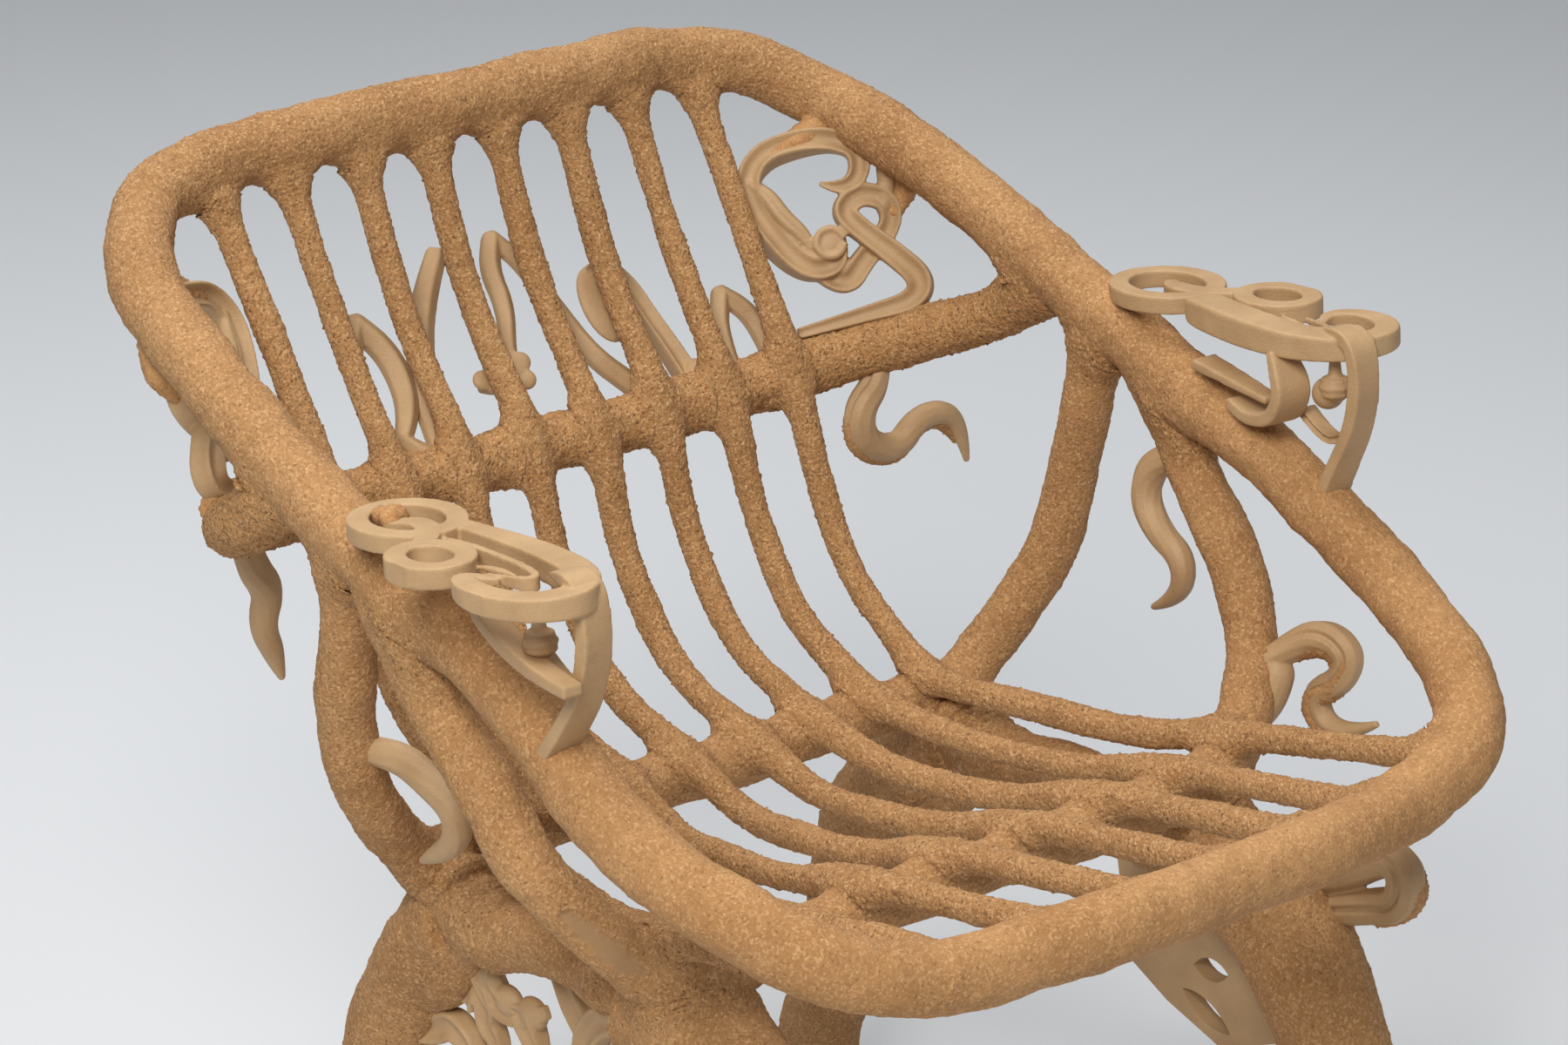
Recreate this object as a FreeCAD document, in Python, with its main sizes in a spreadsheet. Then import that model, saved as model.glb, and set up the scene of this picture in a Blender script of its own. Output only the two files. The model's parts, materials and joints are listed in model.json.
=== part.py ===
import FreeCAD, Part
import math
import os

# Hand-built open lounge chair: thick round members of cork paste on a welded steel armature,
# with clay scrolls, straps and tendrils. Front is -Y, right is +X, the floor is Z = 0.

Vector = FreeCAD.Vector
doc = FreeCAD.newDocument("lounge_chair")

# Driving sizes in millimetres
SIZES = (
    ("half_width", 305, "middle plane to the centreline of the rim"),
    ("half_depth", 380, "middle of the plan to the centreline of the rim"),
    ("rim_height", 755, "floor to the centreline of the top rail"),
    ("rim_radius", 23, "cork member that runs round the whole seat and back"),
    ("lumbar_radius", 20, "rail behind the slats at mid back"),
    ("hoop_radius", 19, "two U hoops under the seat"),
    ("slat_radius", 9.5, "eight slats"),
    ("slat_stand_off", 20, "slat centreline in front of the centreline of a rail"),
    ("rear_leg_radius", 31, "rear legs"),
    ("front_leg_radius", 38, "front legs"),
    ("arch_radius", 20, "bar between the two legs of a side"),
    ("rear_leg_bed", 3, "how deep the rear hoop beds in the leg top"),
    ("front_leg_bed", 12, "how deep the front hoop beds in the leg top"),
    ("rim_core_radius", 8, "steel bar inside the rim"),
    ("rail_core_radius", 6, "steel bar inside the rail and the hoops"),
    ("slat_core_radius", 3, "steel rod inside a slat"),
    ("leg_core_radius", 11, "steel bar inside the legs"),
    ("tie_radius", 5, "steel tie from a leg bar to a hoop bar"),
    ("fit_gap", 0.3, "gap between neighbours that bear on each other"),
    ("arm_scroll_left_span", 191.0326559, "length of the left arm scroll"),
    ("arm_scroll_right_span", 206.8246529, "length of the right arm scroll"),
    ("arm_strap_width", 15, "width of an arm scroll strap"),
    ("arm_strap_thickness", 12, "thickness of an arm scroll strap"),
    ("arm_ball_radius", 10, "ball under an arm scroll"),
    ("strut_width", 19, "width of the strut at the front of an arm scroll"),
    ("strut_thickness", 12, "thickness of that strut"),
    ("bracket_width", 16, "width of the strap under an arm scroll"),
    ("bracket_thickness", 9, "thickness of that strap"),
    ("back_scroll_height", 150, "height of a scroll in the corner of the back"),
    ("back_strap_width", 14, "width of its strap"),
    ("back_strap_thickness", 13, "thickness of its strap"),
    ("row_height", 150, "height of the tallest strap behind the slats"),
    ("row_strap_width", 11, "width of the straps behind the slats"),
    ("row_strap_thickness", 9, "thickness of the straps behind the slats"),
    ("leaf_thickness", 8, "thickness of the oval leaf behind the slats"),
    ("tendril_span", 100, "unit length of a tendril"),
    ("tendril_radius", 8.5, "half thickness of a tendril"),
    ("leg_scroll_span", 100, "unit length of the scrolls under the left arch"),
    ("leg_strap_width", 15, "width of their straps"),
    ("leg_strap_thickness", 12, "thickness of their straps"),
    ("web_thickness", 13, "thickness of the pierced web under the right arch"),
)

sheet = doc.addObject("Spreadsheet::Sheet", "sizes")
for row, (alias, value, note) in enumerate(SIZES, 1):
    sheet.set(f"A{row}", alias)
    sheet.set(f"B{row}", str(value))
    sheet.setAlias(f"B{row}", alias)
    sheet.set(f"C{row}", note)
doc.recompute()


def size(alias):
    return float(getattr(sheet, alias))


# Routes as shares: X of half_width, Y of half_depth, Z of rim_height
RIM_SHARES = (
    (0.28, -0.998, 0.614), (0.60, -0.949, 0.603), (0.82, -0.916, 0.630), (0.95, -0.751, 0.663),
    (1.00, -0.545, 0.699), (0.98, -0.307, 0.761), (0.99, -0.022, 0.806), (1.00, 0.270, 0.850),
    (0.99, 0.544, 0.902), (0.95, 0.795, 0.940), (0.81, 0.962, 0.979), (0.59, 0.999, 0.996),
    (0.32, 0.977, 1.000),
)
LUMBAR_SHARES = (
    (0.20, 0.707, 0.717), (0.43, 0.707, 0.719), (0.67, 0.696, 0.723), (0.89, 0.632, 0.743),
    (1.00, 0.434, 0.788), (1.00, 0.255, 0.848),
)
REAR_HOOP_SHARES = (
    (0.26, 0.259, 0.485), (0.52, 0.280, 0.479), (0.73, 0.280, 0.479), (0.82, 0.254, 0.524),
    (0.93, 0.217, 0.589), (0.97, 0.201, 0.670), (0.98, 0.163, 0.755), (0.995, 0.150, 0.832),
)
FRONT_HOOP_SHARES = (
    (0.28, -0.457, 0.527), (0.56, -0.438, 0.522), (0.77, -0.393, 0.517), (0.88, -0.348, 0.566),
    (0.96, -0.282, 0.609), (0.97, -0.210, 0.662), (1.00, -0.073, 0.726), (1.00, 0.064, 0.818),
)
# Legs in the plane of a side: Y of half_depth, Z of rim_height
LEG_PLANE_SHARE = 0.68
REAR_LEG_SHARES = {
    "left": ((0.609, 0.000), (0.609, 0.060), (0.522, 0.146), (0.486, 0.219), (0.443, 0.285),
             (0.372, 0.347)),
    "right": ((0.628, 0.000), (0.628, 0.060), (0.549, 0.146), (0.528, 0.225), (0.507, 0.298),
              (0.425, 0.360)),
}
ARCH_SHARES = ((0.154, 0.440), (0.067, 0.448), (-0.030, 0.457), (-0.193, 0.464))
FRONT_LEG_SHARES = (
    (-0.628, 0.417), (-0.736, 0.338), (-0.793, 0.238), (-0.830, 0.119), (-0.830, 0.000),
)

# Slats: eight, evenly spread, each station with its place at the middle of the chair and what
# the outermost slat adds to it
SLAT_COUNT = 8
SLAT_SHIFT_SHARE = 0.008
SLAT_TOP_PITCH_SHARE = 0.183
SLAT_LUMBAR_PITCH_SHARE = 0.177
SLAT_REAR_PITCH_SHARE = 0.171
SLAT_FRONT_PITCH_SHARE = 0.212
UPPER_BACK_SHARES = (0.857, 0.845, -0.041, 0.019)
LOWER_BACK_SHARES = ((0.610, 0.630, -0.050, 0.003), (0.463, 0.532, 0.005, 0.033))
SEAT_SHARES = ((0.057, 0.482, -0.035, 0.030), (-0.244, 0.507, 0.041, 0.013))
LUMBAR_FACING_SHARES = (0, -0.88, 0.47)
REAR_FACING_SHARES = (0, -0.60, 0.80)
FRONT_FACING_SHARES = (0, 0, 1)

RUN_SHARE = 0.45
SIDES = {"left": -1, "right": 1}


def place(x_share, y_share, z_share):
    return Vector(x_share * size("half_width"), y_share * size("half_depth"),
                  z_share * size("rim_height"))


def mirrored(points):
    return [Vector(-p.x, p.y, p.z) for p in points]


def unit(direction):
    return Vector(direction).normalize()


# Straight runs joined by tangent arcs, each arc as large as its two runs allow
def route(points, closed=False):
    count = len(points)
    corners = range(count) if closed else range(1, count - 1)
    arcs = []
    for i in corners:
        before, corner, after = points[i - 1], points[i], points[(i + 1) % count]
        back, ahead = unit(before - corner), unit(after - corner)
        turn = math.pi - back.getAngle(ahead)
        tangent = RUN_SHARE * min((before - corner).Length, (after - corner).Length)
        radius = tangent / math.tan(turn / 2)
        inward = unit(back + ahead)
        middle = corner + inward * (radius / math.cos(turn / 2) - radius)
        arcs.append((corner + back * tangent, middle, corner + ahead * tangent))
    edges = []
    last = arcs[-1][2] if closed else points[0]
    for start, middle, end in arcs:
        edges.append(Part.LineSegment(last, start).toShape())
        edges.append(Part.Arc(start, middle, end).toShape())
        last = end
    if not closed:
        edges.append(Part.LineSegment(last, points[-1]).toShape())
    return Part.Wire(edges)


def path(name, points, closed=False):
    feature = doc.addObject("Part::Feature", name + "_path")
    feature.Shape = route(points, closed)
    return feature


def sweep(name, along, profile):
    feature = doc.addObject("Part::Sweep", name)
    feature.Sections = [profile]
    feature.Spine = (along, [])
    feature.Solid = True
    feature.Frenet = False
    return feature


def start_of(along):
    first = along.Shape.OrderedEdges[0]
    return first.valueAt(first.FirstParameter), unit(first.tangentAt(first.FirstParameter))


# A round member: its radius is an expression on the sheet
def tube(name, along, radius):
    point, tangent = start_of(along)
    profile = doc.addObject("Part::Circle", name + "_profile")
    profile.setExpression("Radius", radius)
    profile.Placement = FreeCAD.Placement(point, FreeCAD.Rotation(Vector(0, 0, 1), tangent))
    return sweep(name, along, profile)


# A flat strap: width lies across the route in its plane, thickness along the normal
def strap(name, along, normal, width, thickness):
    point, tangent = start_of(along)
    across = unit(normal.cross(tangent))
    half_width = across * (size(width) / 2)
    half_thickness = unit(tangent.cross(across)) * (size(thickness) / 2)
    profile = doc.addObject("Part::Plane", name + "_profile")
    profile.setExpression("Length", "sizes." + width)
    profile.setExpression("Width", "sizes." + thickness)
    turned = FreeCAD.Rotation(across, unit(tangent.cross(across)), tangent, "XYZ")
    profile.Placement = FreeCAD.Placement(point - half_width - half_thickness, turned)
    return sweep(name, along, profile)


# Cut the tools from a body one after another; the last feature carries the node's name
def cut(name, body, tools):
    for number, tool in enumerate(tools, 1):
        feature = doc.addObject("Part::Cut", f"{name}_cut_{number}")
        feature.Base = body
        feature.Tool = tool
        body = feature
    return body


def fuse(name, shapes):
    if len(shapes) == 1:
        return shapes[0]
    feature = doc.addObject("Part::MultiFuse", name)
    feature.Shapes = shapes
    return feature


def group(name, shapes):
    feature = doc.addObject("Part::Compound", name)
    feature.Links = shapes
    return feature


nodes = {}


def node(name, feature):
    feature.Label = name
    nodes[name] = feature


# The point where a route crosses a plane of constant X or Y, on the side that is asked for
def crossing(along, axis, value, keep=lambda point: True):
    count = max(400, int(along.Shape.Length))
    points = along.Shape.discretize(Number=count)
    for first, second in zip(points, points[1:]):
        low, high = first[axis] - value, second[axis] - value
        if low * high <= 0 and low != high and keep(first):
            return first + (second - first) * (low / (low - high))
    raise ValueError("the route does not cross that plane")


def grown(radius):
    return f"sizes.{radius} + sizes.fit_gap"


# Main routes
def both_sides(shares):
    half = [place(*s) for s in shares]
    return mirrored(half[::-1]) + half


rim_path = path("rim", [place(*s) for s in RIM_SHARES]
                + mirrored([place(*s) for s in RIM_SHARES[::-1]]), closed=True)
lumbar_path = path("lumbar_rail", both_sides(LUMBAR_SHARES))
rear_hoop_path = path("rear_hoop", both_sides(REAR_HOOP_SHARES))
front_hoop_path = path("front_hoop", both_sides(FRONT_HOOP_SHARES))


def slat_points(number):
    steps = number - (SLAT_COUNT + 1) / 2
    outward = (steps / ((SLAT_COUNT - 1) / 2)) ** 2

    def across(pitch_share):
        return (SLAT_SHIFT_SHARE + steps * pitch_share) * size("half_width")

    def station(pitch_share, shares):
        y_share, z_share, y_more, z_more = shares
        return Vector(across(pitch_share), (y_share + y_more * outward) * size("half_depth"),
                      (z_share + z_more * outward) * size("rim_height"))

    def over(along, pitch_share, facing):
        return (crossing(along, 0, across(pitch_share))
                + unit(Vector(*facing)) * size("slat_stand_off"))

    top, lumbar, rear, front = (SLAT_TOP_PITCH_SHARE, SLAT_LUMBAR_PITCH_SHARE,
                                SLAT_REAR_PITCH_SHARE, SLAT_FRONT_PITCH_SHARE)
    return [
        crossing(rim_path, 0, across(top), lambda p: p.y > 0),
        station((top + lumbar) / 2, UPPER_BACK_SHARES),
        over(lumbar_path, lumbar, LUMBAR_FACING_SHARES),
        station((2 * lumbar + rear) / 3, LOWER_BACK_SHARES[0]),
        station((lumbar + 2 * rear) / 3, LOWER_BACK_SHARES[1]),
        over(rear_hoop_path, rear, REAR_FACING_SHARES),
        station((2 * rear + front) / 3, SEAT_SHARES[0]),
        station((rear + 2 * front) / 3, SEAT_SHARES[1]),
        over(front_hoop_path, front, FRONT_FACING_SHARES),
        crossing(rim_path, 0, across(front), lambda p: p.y < 0),
    ]


slat_paths = {n: path(f"slat_{n}", slat_points(n)) for n in range(1, SLAT_COUNT + 1)}

# Legs: one route per side from the rear foot over the arch to the front foot
leg_x = LEG_PLANE_SHARE * size("half_width")


def leg_points(side):
    sign = SIDES[side]

    def flat(shares):
        return [Vector(sign * leg_x, y * size("half_depth"), z * size("rim_height"))
                for y, z in shares]

    def under(hoop, drop):
        return crossing(hoop, 0, sign * leg_x, lambda p: True) - Vector(0, 0, drop)

    rear_drop = size("hoop_radius") + size("rear_leg_radius") - size("rear_leg_bed")
    front_drop = size("hoop_radius") + size("front_leg_radius") - size("front_leg_bed")
    rear = flat(REAR_LEG_SHARES[side]) + [under(rear_hoop_path, rear_drop)]
    front = [under(front_hoop_path, front_drop)] + flat(FRONT_LEG_SHARES)
    return rear, flat(ARCH_SHARES), front


# Clearance tools round the steel
rim_core_space = tube("rim_core_space", rim_path, grown("rim_core_radius"))
lumbar_core_space = tube("lumbar_core_space", lumbar_path, grown("rail_core_radius"))
rear_core_space = tube("rear_core_space", rear_hoop_path, grown("rail_core_radius"))
front_core_space = tube("front_core_space", front_hoop_path, grown("rail_core_radius"))
slat_core_spaces = {n: tube(f"slat_core_space_{n}", slat_paths[n], grown("slat_core_radius"))
                    for n in slat_paths}
armature_space = fuse("armature_space", [rim_core_space, lumbar_core_space, rear_core_space,
                                         front_core_space, *slat_core_spaces.values()])

# Clearance tools round the cork
rim_space = tube("rim_space", rim_path, grown("rim_radius"))
lumbar_space = tube("lumbar_space", lumbar_path, grown("lumbar_radius"))
rear_hoop_space = tube("rear_hoop_space", rear_hoop_path, grown("hoop_radius"))
front_hoop_space = tube("front_hoop_space", front_hoop_path, grown("hoop_radius"))
slat_spaces = group("slat_spaces", [
    tube(f"slat_space_{n}", slat_paths[n], grown("slat_radius")) for n in slat_paths])

# Steel armature
node("rim_core", tube("rim_core_bar", rim_path, "sizes.rim_core_radius"))
node("lumbar_core", cut("lumbar_core", tube("lumbar_core_bar", lumbar_path,
                                            "sizes.rail_core_radius"), [rim_core_space]))
node("rear_hoop_core", cut("rear_core", tube("rear_core_bar", rear_hoop_path,
                                             "sizes.rail_core_radius"),
                           [rim_core_space, lumbar_core_space]))
node("front_hoop_core", cut("front_core", tube("front_core_bar", front_hoop_path,
                                               "sizes.rail_core_radius"), [rim_core_space]))
slat_rods = group("slat_rod_bars", [
    tube(f"slat_rod_{n}", slat_paths[n], "sizes.slat_core_radius") for n in slat_paths])
node("slat_rods", cut("slat_rods", slat_rods, [rim_core_space]))

# Cork members of the seat and back
node("rim", cut("rim", tube("rim_cork", rim_path, "sizes.rim_radius"),
                [armature_space]))
for n in slat_paths:
    slat = tube(f"slat_cork_{n}", slat_paths[n], "sizes.slat_radius")
    node(f"slat_{n}", cut(f"slat_{n}", slat, [rim_space, slat_core_spaces[n]]))
node("lumbar_rail", cut("lumbar_rail",
                        tube("lumbar_cork", lumbar_path, "sizes.lumbar_radius"),
                        [rim_space, slat_spaces, armature_space]))

# Legs, arches, their steel and the ties to the hoops
ties = {"rear": [], "front": []}
leg_spaces = {}
arch_spaces = []
for side, sign in SIDES.items():
    rear, arch, front = leg_points(side)
    rear_joint = (rear[-1] + arch[0]) * 0.5
    front_joint = (arch[-1] + front[0]) * 0.5
    core_path = path(f"leg_core_{side}", rear + arch + front)
    rear_path = path(f"rear_leg_{side}", rear + [rear_joint])
    arch_path = path(f"arch_bar_{side}", [rear_joint] + arch + [front_joint])
    front_path = path(f"front_leg_{side}", [front_joint] + front)
    core_space = tube(f"leg_core_space_{side}", core_path, grown("leg_core_radius"))
    node(f"leg_core_{side}", tube(f"leg_core_bar_{side}", core_path, "sizes.leg_core_radius"))
    side_ties = {}
    for end, hoop, foot in (("rear", rear_hoop_path, rear[-1]),
                            ("front", front_hoop_path, front[0])):
        head = crossing(hoop, 0, sign * leg_x)
        for kind, radius in (("tie", "sizes.tie_radius"), ("tie_space", grown("tie_radius"))):
            rod = doc.addObject("Part::Cylinder", f"{end}_{kind}_{side}")
            rod.setExpression("Radius", radius)
            rod.Height = head.z - foot.z
            rod.Placement = FreeCAD.Placement(foot, FreeCAD.Rotation())
            side_ties[end, kind] = rod
    hoop_cores = {"rear": rear_core_space, "front": front_core_space}
    for end in ties:
        rod = cut(f"{end}_tie_{side}", side_ties[end, "tie"], [core_space, hoop_cores[end]])
        ties[end].append((rod, side_ties[end, "tie_space"]))
    rear_leg = tube(f"rear_leg_cork_{side}", rear_path, "sizes.rear_leg_radius")
    front_leg = tube(f"front_leg_cork_{side}", front_path, "sizes.front_leg_radius")
    arch_bar = tube(f"arch_cork_{side}", arch_path, "sizes.arch_radius")
    node(f"rear_leg_{side}", cut(f"rear_leg_{side}", rear_leg,
                                 [rear_hoop_space, core_space, side_ties["rear", "tie_space"]]))
    node(f"front_leg_{side}", cut(f"front_leg_{side}", front_leg,
                                  [front_hoop_space, core_space,
                                   side_ties["front", "tie_space"]]))
    node(f"arch_bar_{side}", cut(f"arch_bar_{side}", arch_bar,
                                 [rear_hoop_space, front_hoop_space, core_space]))
    leg_spaces[side] = [
        tube(f"rear_leg_space_{side}", rear_path, grown("rear_leg_radius")),
        tube(f"front_leg_space_{side}", front_path, grown("front_leg_radius")),
        tube(f"arch_space_{side}", arch_path, grown("arch_radius")),
    ]
node("leg_ties", group("leg_ties", [rod for end in ties for rod, space in ties[end]]))
rear_tie_spaces = [space for rod, space in ties["rear"]]
front_tie_spaces = [space for rod, space in ties["front"]]
node("rear_hoop", cut("rear_hoop", tube("rear_hoop_cork", rear_hoop_path, "sizes.hoop_radius"),
                      [rim_space, slat_spaces, lumbar_space] + rear_tie_spaces
                      + [armature_space]))
node("front_hoop", cut("front_hoop",
                       tube("front_hoop_cork", front_hoop_path, "sizes.hoop_radius"),
                       [rim_space, slat_spaces] + front_tie_spaces + [armature_space]))


# A drawing frame for an ornament: an origin and two directions that carry its shares
class Frame:
    def __init__(self, origin, along, upward, scale):
        self.origin = origin
        self.u = unit(along)
        self.w = unit(self.u.cross(upward))
        self.v = unit(self.w.cross(self.u))
        self.scale = scale

    def at(self, u, v, w=0):
        return self.origin + (self.u * u + self.v * v + self.w * w) * self.scale

    def line(self, shares):
        return [self.at(*s) for s in shares]

    def ring(self, middle, reach, count=8):
        turns = [2 * math.pi * i / count for i in range(count)]
        return [self.at(middle[0] + reach[0] * math.cos(a), middle[1] + reach[1] * math.sin(a))
                for a in turns]


def ornament(name, pieces, tools):
    body = fuse(name + "_whole", pieces)
    node(name, cut(name, body, tools))


# Arm scrolls: a flat figure of rings and bands over each arm, on a strut at its front. Each has
# the place of its rear ring and of its front end, then the figure as shares of that distance.
ARM_PLACE_SHARES = {
    "left": ((1.000, -0.034, 0.862), (1.020, -0.534, 0.887)),
    "right": ((1.056, 0.039, 0.861), (0.985, -0.500, 0.886)),
}
REAR_RING_SHARES = ((0, 0), (0.175, 0.140))
SIDE_RING_SHARES = ((0.325, 0.148), (0.100, 0.085))
TONGUE_SHARES = ((0.39, 0.09), (0.46, 0.03), (0.54, -0.06))
BAND_SHARES = ((0.14, -0.11), (0.38, -0.10), (0.62, -0.10), (0.84, -0.075), (0.98, 0.02),
               (0.96, 0.15), (0.83, 0.23), (0.67, 0.23), (0.60, 0.15), (0.70, 0.08))
STRUT_SHARES = ((0.92, 0), (0.97, -0.03), (0.965, -0.15), (0.94, -0.26), (0.86, -0.395))
STRUT_FOOT_SHARES = {"left": 0.748, "right": 0.8293135}
LINK_SHARES = ((0.93, -0.27), (0.84, -0.285), (0.75, -0.25))
BALL_SHARES = (0.80, -0.19)
BRACKET_SHARES = ((0.67, -0.15), (0.60, -0.255), (0.47, -0.27), (0.38, -0.19), (0.30, -0.13))
for side, sign in SIDES.items():
    rear_end, front_end = [place(sign * x, y, z) for x, y, z in ARM_PLACE_SHARES[side]]
    forward = front_end - rear_end
    span = size(f"arm_scroll_{side}_span")
    frame = Frame(rear_end, forward, Vector(sign, 0, 0), span)
    upright = Frame(rear_end, forward, Vector(0, 0, 1), span)
    straps = []
    for label, points, closed in (
            ("rear_ring", frame.ring(*REAR_RING_SHARES), True),
            ("side_ring", frame.ring(*SIDE_RING_SHARES), True),
            ("tongue", frame.line(TONGUE_SHARES), False),
            ("band", frame.line(BAND_SHARES), False)):
        along = path(f"arm_{label}_{side}", points, closed)
        straps.append(strap(f"arm_{label}_{side}", along, frame.w, "arm_strap_width",
                            "arm_strap_thickness"))
    strut_foot = crossing(rim_path, 1, upright.at(STRUT_FOOT_SHARES[side], 0).y,
                          lambda p, sign=sign: p.x * sign > 0)
    strut_path = path(f"arm_strut_{side}", upright.line(STRUT_SHARES) + [strut_foot])
    straps.append(strap(f"arm_strut_{side}", strut_path, upright.w, "strut_thickness",
                        "strut_width"))
    link_path = path(f"arm_link_{side}", upright.line(LINK_SHARES))
    straps.append(strap(f"arm_link_{side}", link_path, upright.w, "bracket_thickness",
                        "bracket_width"))
    ball = doc.addObject("Part::Sphere", f"arm_ball_{side}")
    ball.setExpression("Radius", "sizes.arm_ball_radius")
    ball.Placement = FreeCAD.Placement(upright.at(*BALL_SHARES), FreeCAD.Rotation())
    stem_path = path(f"arm_stem_{side}", [upright.at(*LINK_SHARES[1]), upright.at(*BALL_SHARES)])
    straps += [ball, tube(f"arm_stem_{side}", stem_path, "sizes.bracket_thickness / 2")]
    ornament(f"arm_scroll_{side}", straps, [rim_space])
    top = upright.at(BRACKET_SHARES[0][0], 0)
    top -= upright.v * (size("arm_strap_thickness") / 2 + size("fit_gap"))
    top_shift = frame.v * (BAND_SHARES[2][1] * frame.scale)
    bracket_points = [p + top_shift for p in [top] + upright.line(BRACKET_SHARES)]
    bracket_path = path(f"arm_bracket_{side}", bracket_points)
    bracket = strap(f"arm_bracket_strap_{side}", bracket_path, upright.w,
                    "bracket_thickness", "bracket_width")
    ornament(f"arm_bracket_{side}", [bracket], [rim_space])

# Corner scrolls between the outer slat, the rail and the rim
BACK_ORIGIN_SHARE = 0.666
BACK_ALONG_SHARE = 0.92
BACK_UP_SHARE = 0.795
HOOK_SHARES = ((0.38, 0.80), (0.47, 0.74), (0.57, 0.78), (0.60, 0.90), (0.50, 0.98),
               (0.34, 1.01), (0.15, 1.00), (0.03, 0.87), (0.07, 0.66), (0.17, 0.47),
               (0.27, 0.41), (0.37, 0.44), (0.38, 0.54))
LOOP_SHARES = ((0.27, 0.42), (0.35, 0.30), (0.47, 0.41), (0.64, 0.51), (0.66, 0.63),
               (0.54, 0.70), (0.44, 0.62))
FOOT_STRAP_SHARES = ((0.46, 0.66), (0.52, 0.54), (0.61, 0.39), (0.71, 0.235), (0.64, 0.145),
                     (0.45, 0.155), (0.28, 0.160), (0.08, 0.165))
STUB_SHARES = ((0.62, 0.60), (0.68, 0.605))
STUB_END_SHARE = 0.73
for side, sign in SIDES.items():
    def on_side(point, sign=sign):
        return point.x * sign > 0

    origin = crossing(lumbar_path, 0, sign * BACK_ORIGIN_SHARE * size("half_width"), on_side)
    along = crossing(lumbar_path, 0, sign * BACK_ALONG_SHARE * size("half_width"), on_side)
    upper = crossing(rim_path, 1, BACK_UP_SHARE * size("half_depth"), on_side)
    frame = Frame(origin, along - origin, upper - origin, size("back_scroll_height"))
    pieces = []
    for label, shares in (("hook", HOOK_SHARES), ("loop", LOOP_SHARES),
                          ("foot", FOOT_STRAP_SHARES)):
        along_path = path(f"back_{label}_{side}", frame.line(shares))
        pieces.append(strap(f"back_{label}_{side}", along_path, frame.w, "back_strap_width",
                            "back_strap_thickness"))
    stub_end = crossing(rim_path, 1, STUB_END_SHARE * size("half_depth"), on_side)
    stub_path = path(f"back_stub_{side}", frame.line(STUB_SHARES) + [stub_end])
    pieces.append(tube(f"back_stub_{side}", stub_path, "sizes.back_strap_thickness / 2"))
    ornament(f"back_scroll_{side}", pieces, [rim_space, lumbar_space])

# Row of straps that stand on the rail behind the slats: X of half_width, height of row_height
ROW_LEAN_SHARES = (0, 0.65, 0.76)
ROW_STRAP_SHARES = {
    "row_leaf_loop": (-0.38, (((0.00, 0), (-0.02, 0.20), (-0.04, 0.42), (0.00, 0.62),
                               (0.09, 0.73), (0.18, 0.62), (0.20, 0.44), (0.15, 0.28),
                               (0.08, 0.20)),)),
    "row_tall_strap": (-0.26, (((0, 0), (0.04, 0.28), (0.16, 0.52), (0.28, 0.78),
                                (0.40, 1.00)),)),
    "row_hook_strap": (0.035, (((-0.17, 0), (-0.12, 0.28), (-0.06, 0.48), (0.02, 0.68),
                                (0.00, 0.88), (0.11, 0.99), (0.20, 0.86), (0.26, 0.62),
                                (0.34, 0.35), (0.48, 0.17), (0.60, 0)),)),
    "row_leaf_strap": (0.42, (((0, 0), (-0.03, 0.22), (-0.09, 0.45), (-0.12, 0.62),
                               (-0.20, 0.75), (-0.30, 0.72)),)),
    "row_small_strap": (0.53, (((0, 0), (0.01, 0.30), (0.13, 0.47), (0.23, 0.40),
                                (0.26, 0.20), (0.26, 0)),)),
}
LEAF_SHARES = ((-0.29, 0.56), (0.095, 0.18))
for name, (x_share, lines) in ROW_STRAP_SHARES.items():
    root = crossing(lumbar_path, 0, x_share * size("half_width"))
    frame = Frame(root, Vector(1, 0, 0), Vector(*ROW_LEAN_SHARES), size("row_height"))
    pieces = []
    for number, shares in enumerate(lines, 1):
        along = path(f"{name}_{number}", frame.line(shares))
        pieces.append(strap(f"{name}_{number}", along, frame.w, "row_strap_width",
                            "row_strap_thickness"))
    if name == "row_leaf_strap":
        outline = doc.addObject("Part::Feature", "leaf_outline")
        half = frame.w * (size("leaf_thickness") / 2)
        outline.Shape = Part.Face(route([p - half for p in frame.ring(*LEAF_SHARES)],
                                        closed=True))
        leaf = doc.addObject("Part::Extrusion", "row_leaf")
        leaf.Base = outline
        leaf.DirMode = "Custom"
        leaf.Dir = frame.w
        leaf.Solid = True
        leaf.setExpression("LengthFwd", "sizes.leaf_thickness")
        pieces.append(leaf)
    ornament(name, pieces, [lumbar_space])

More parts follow.
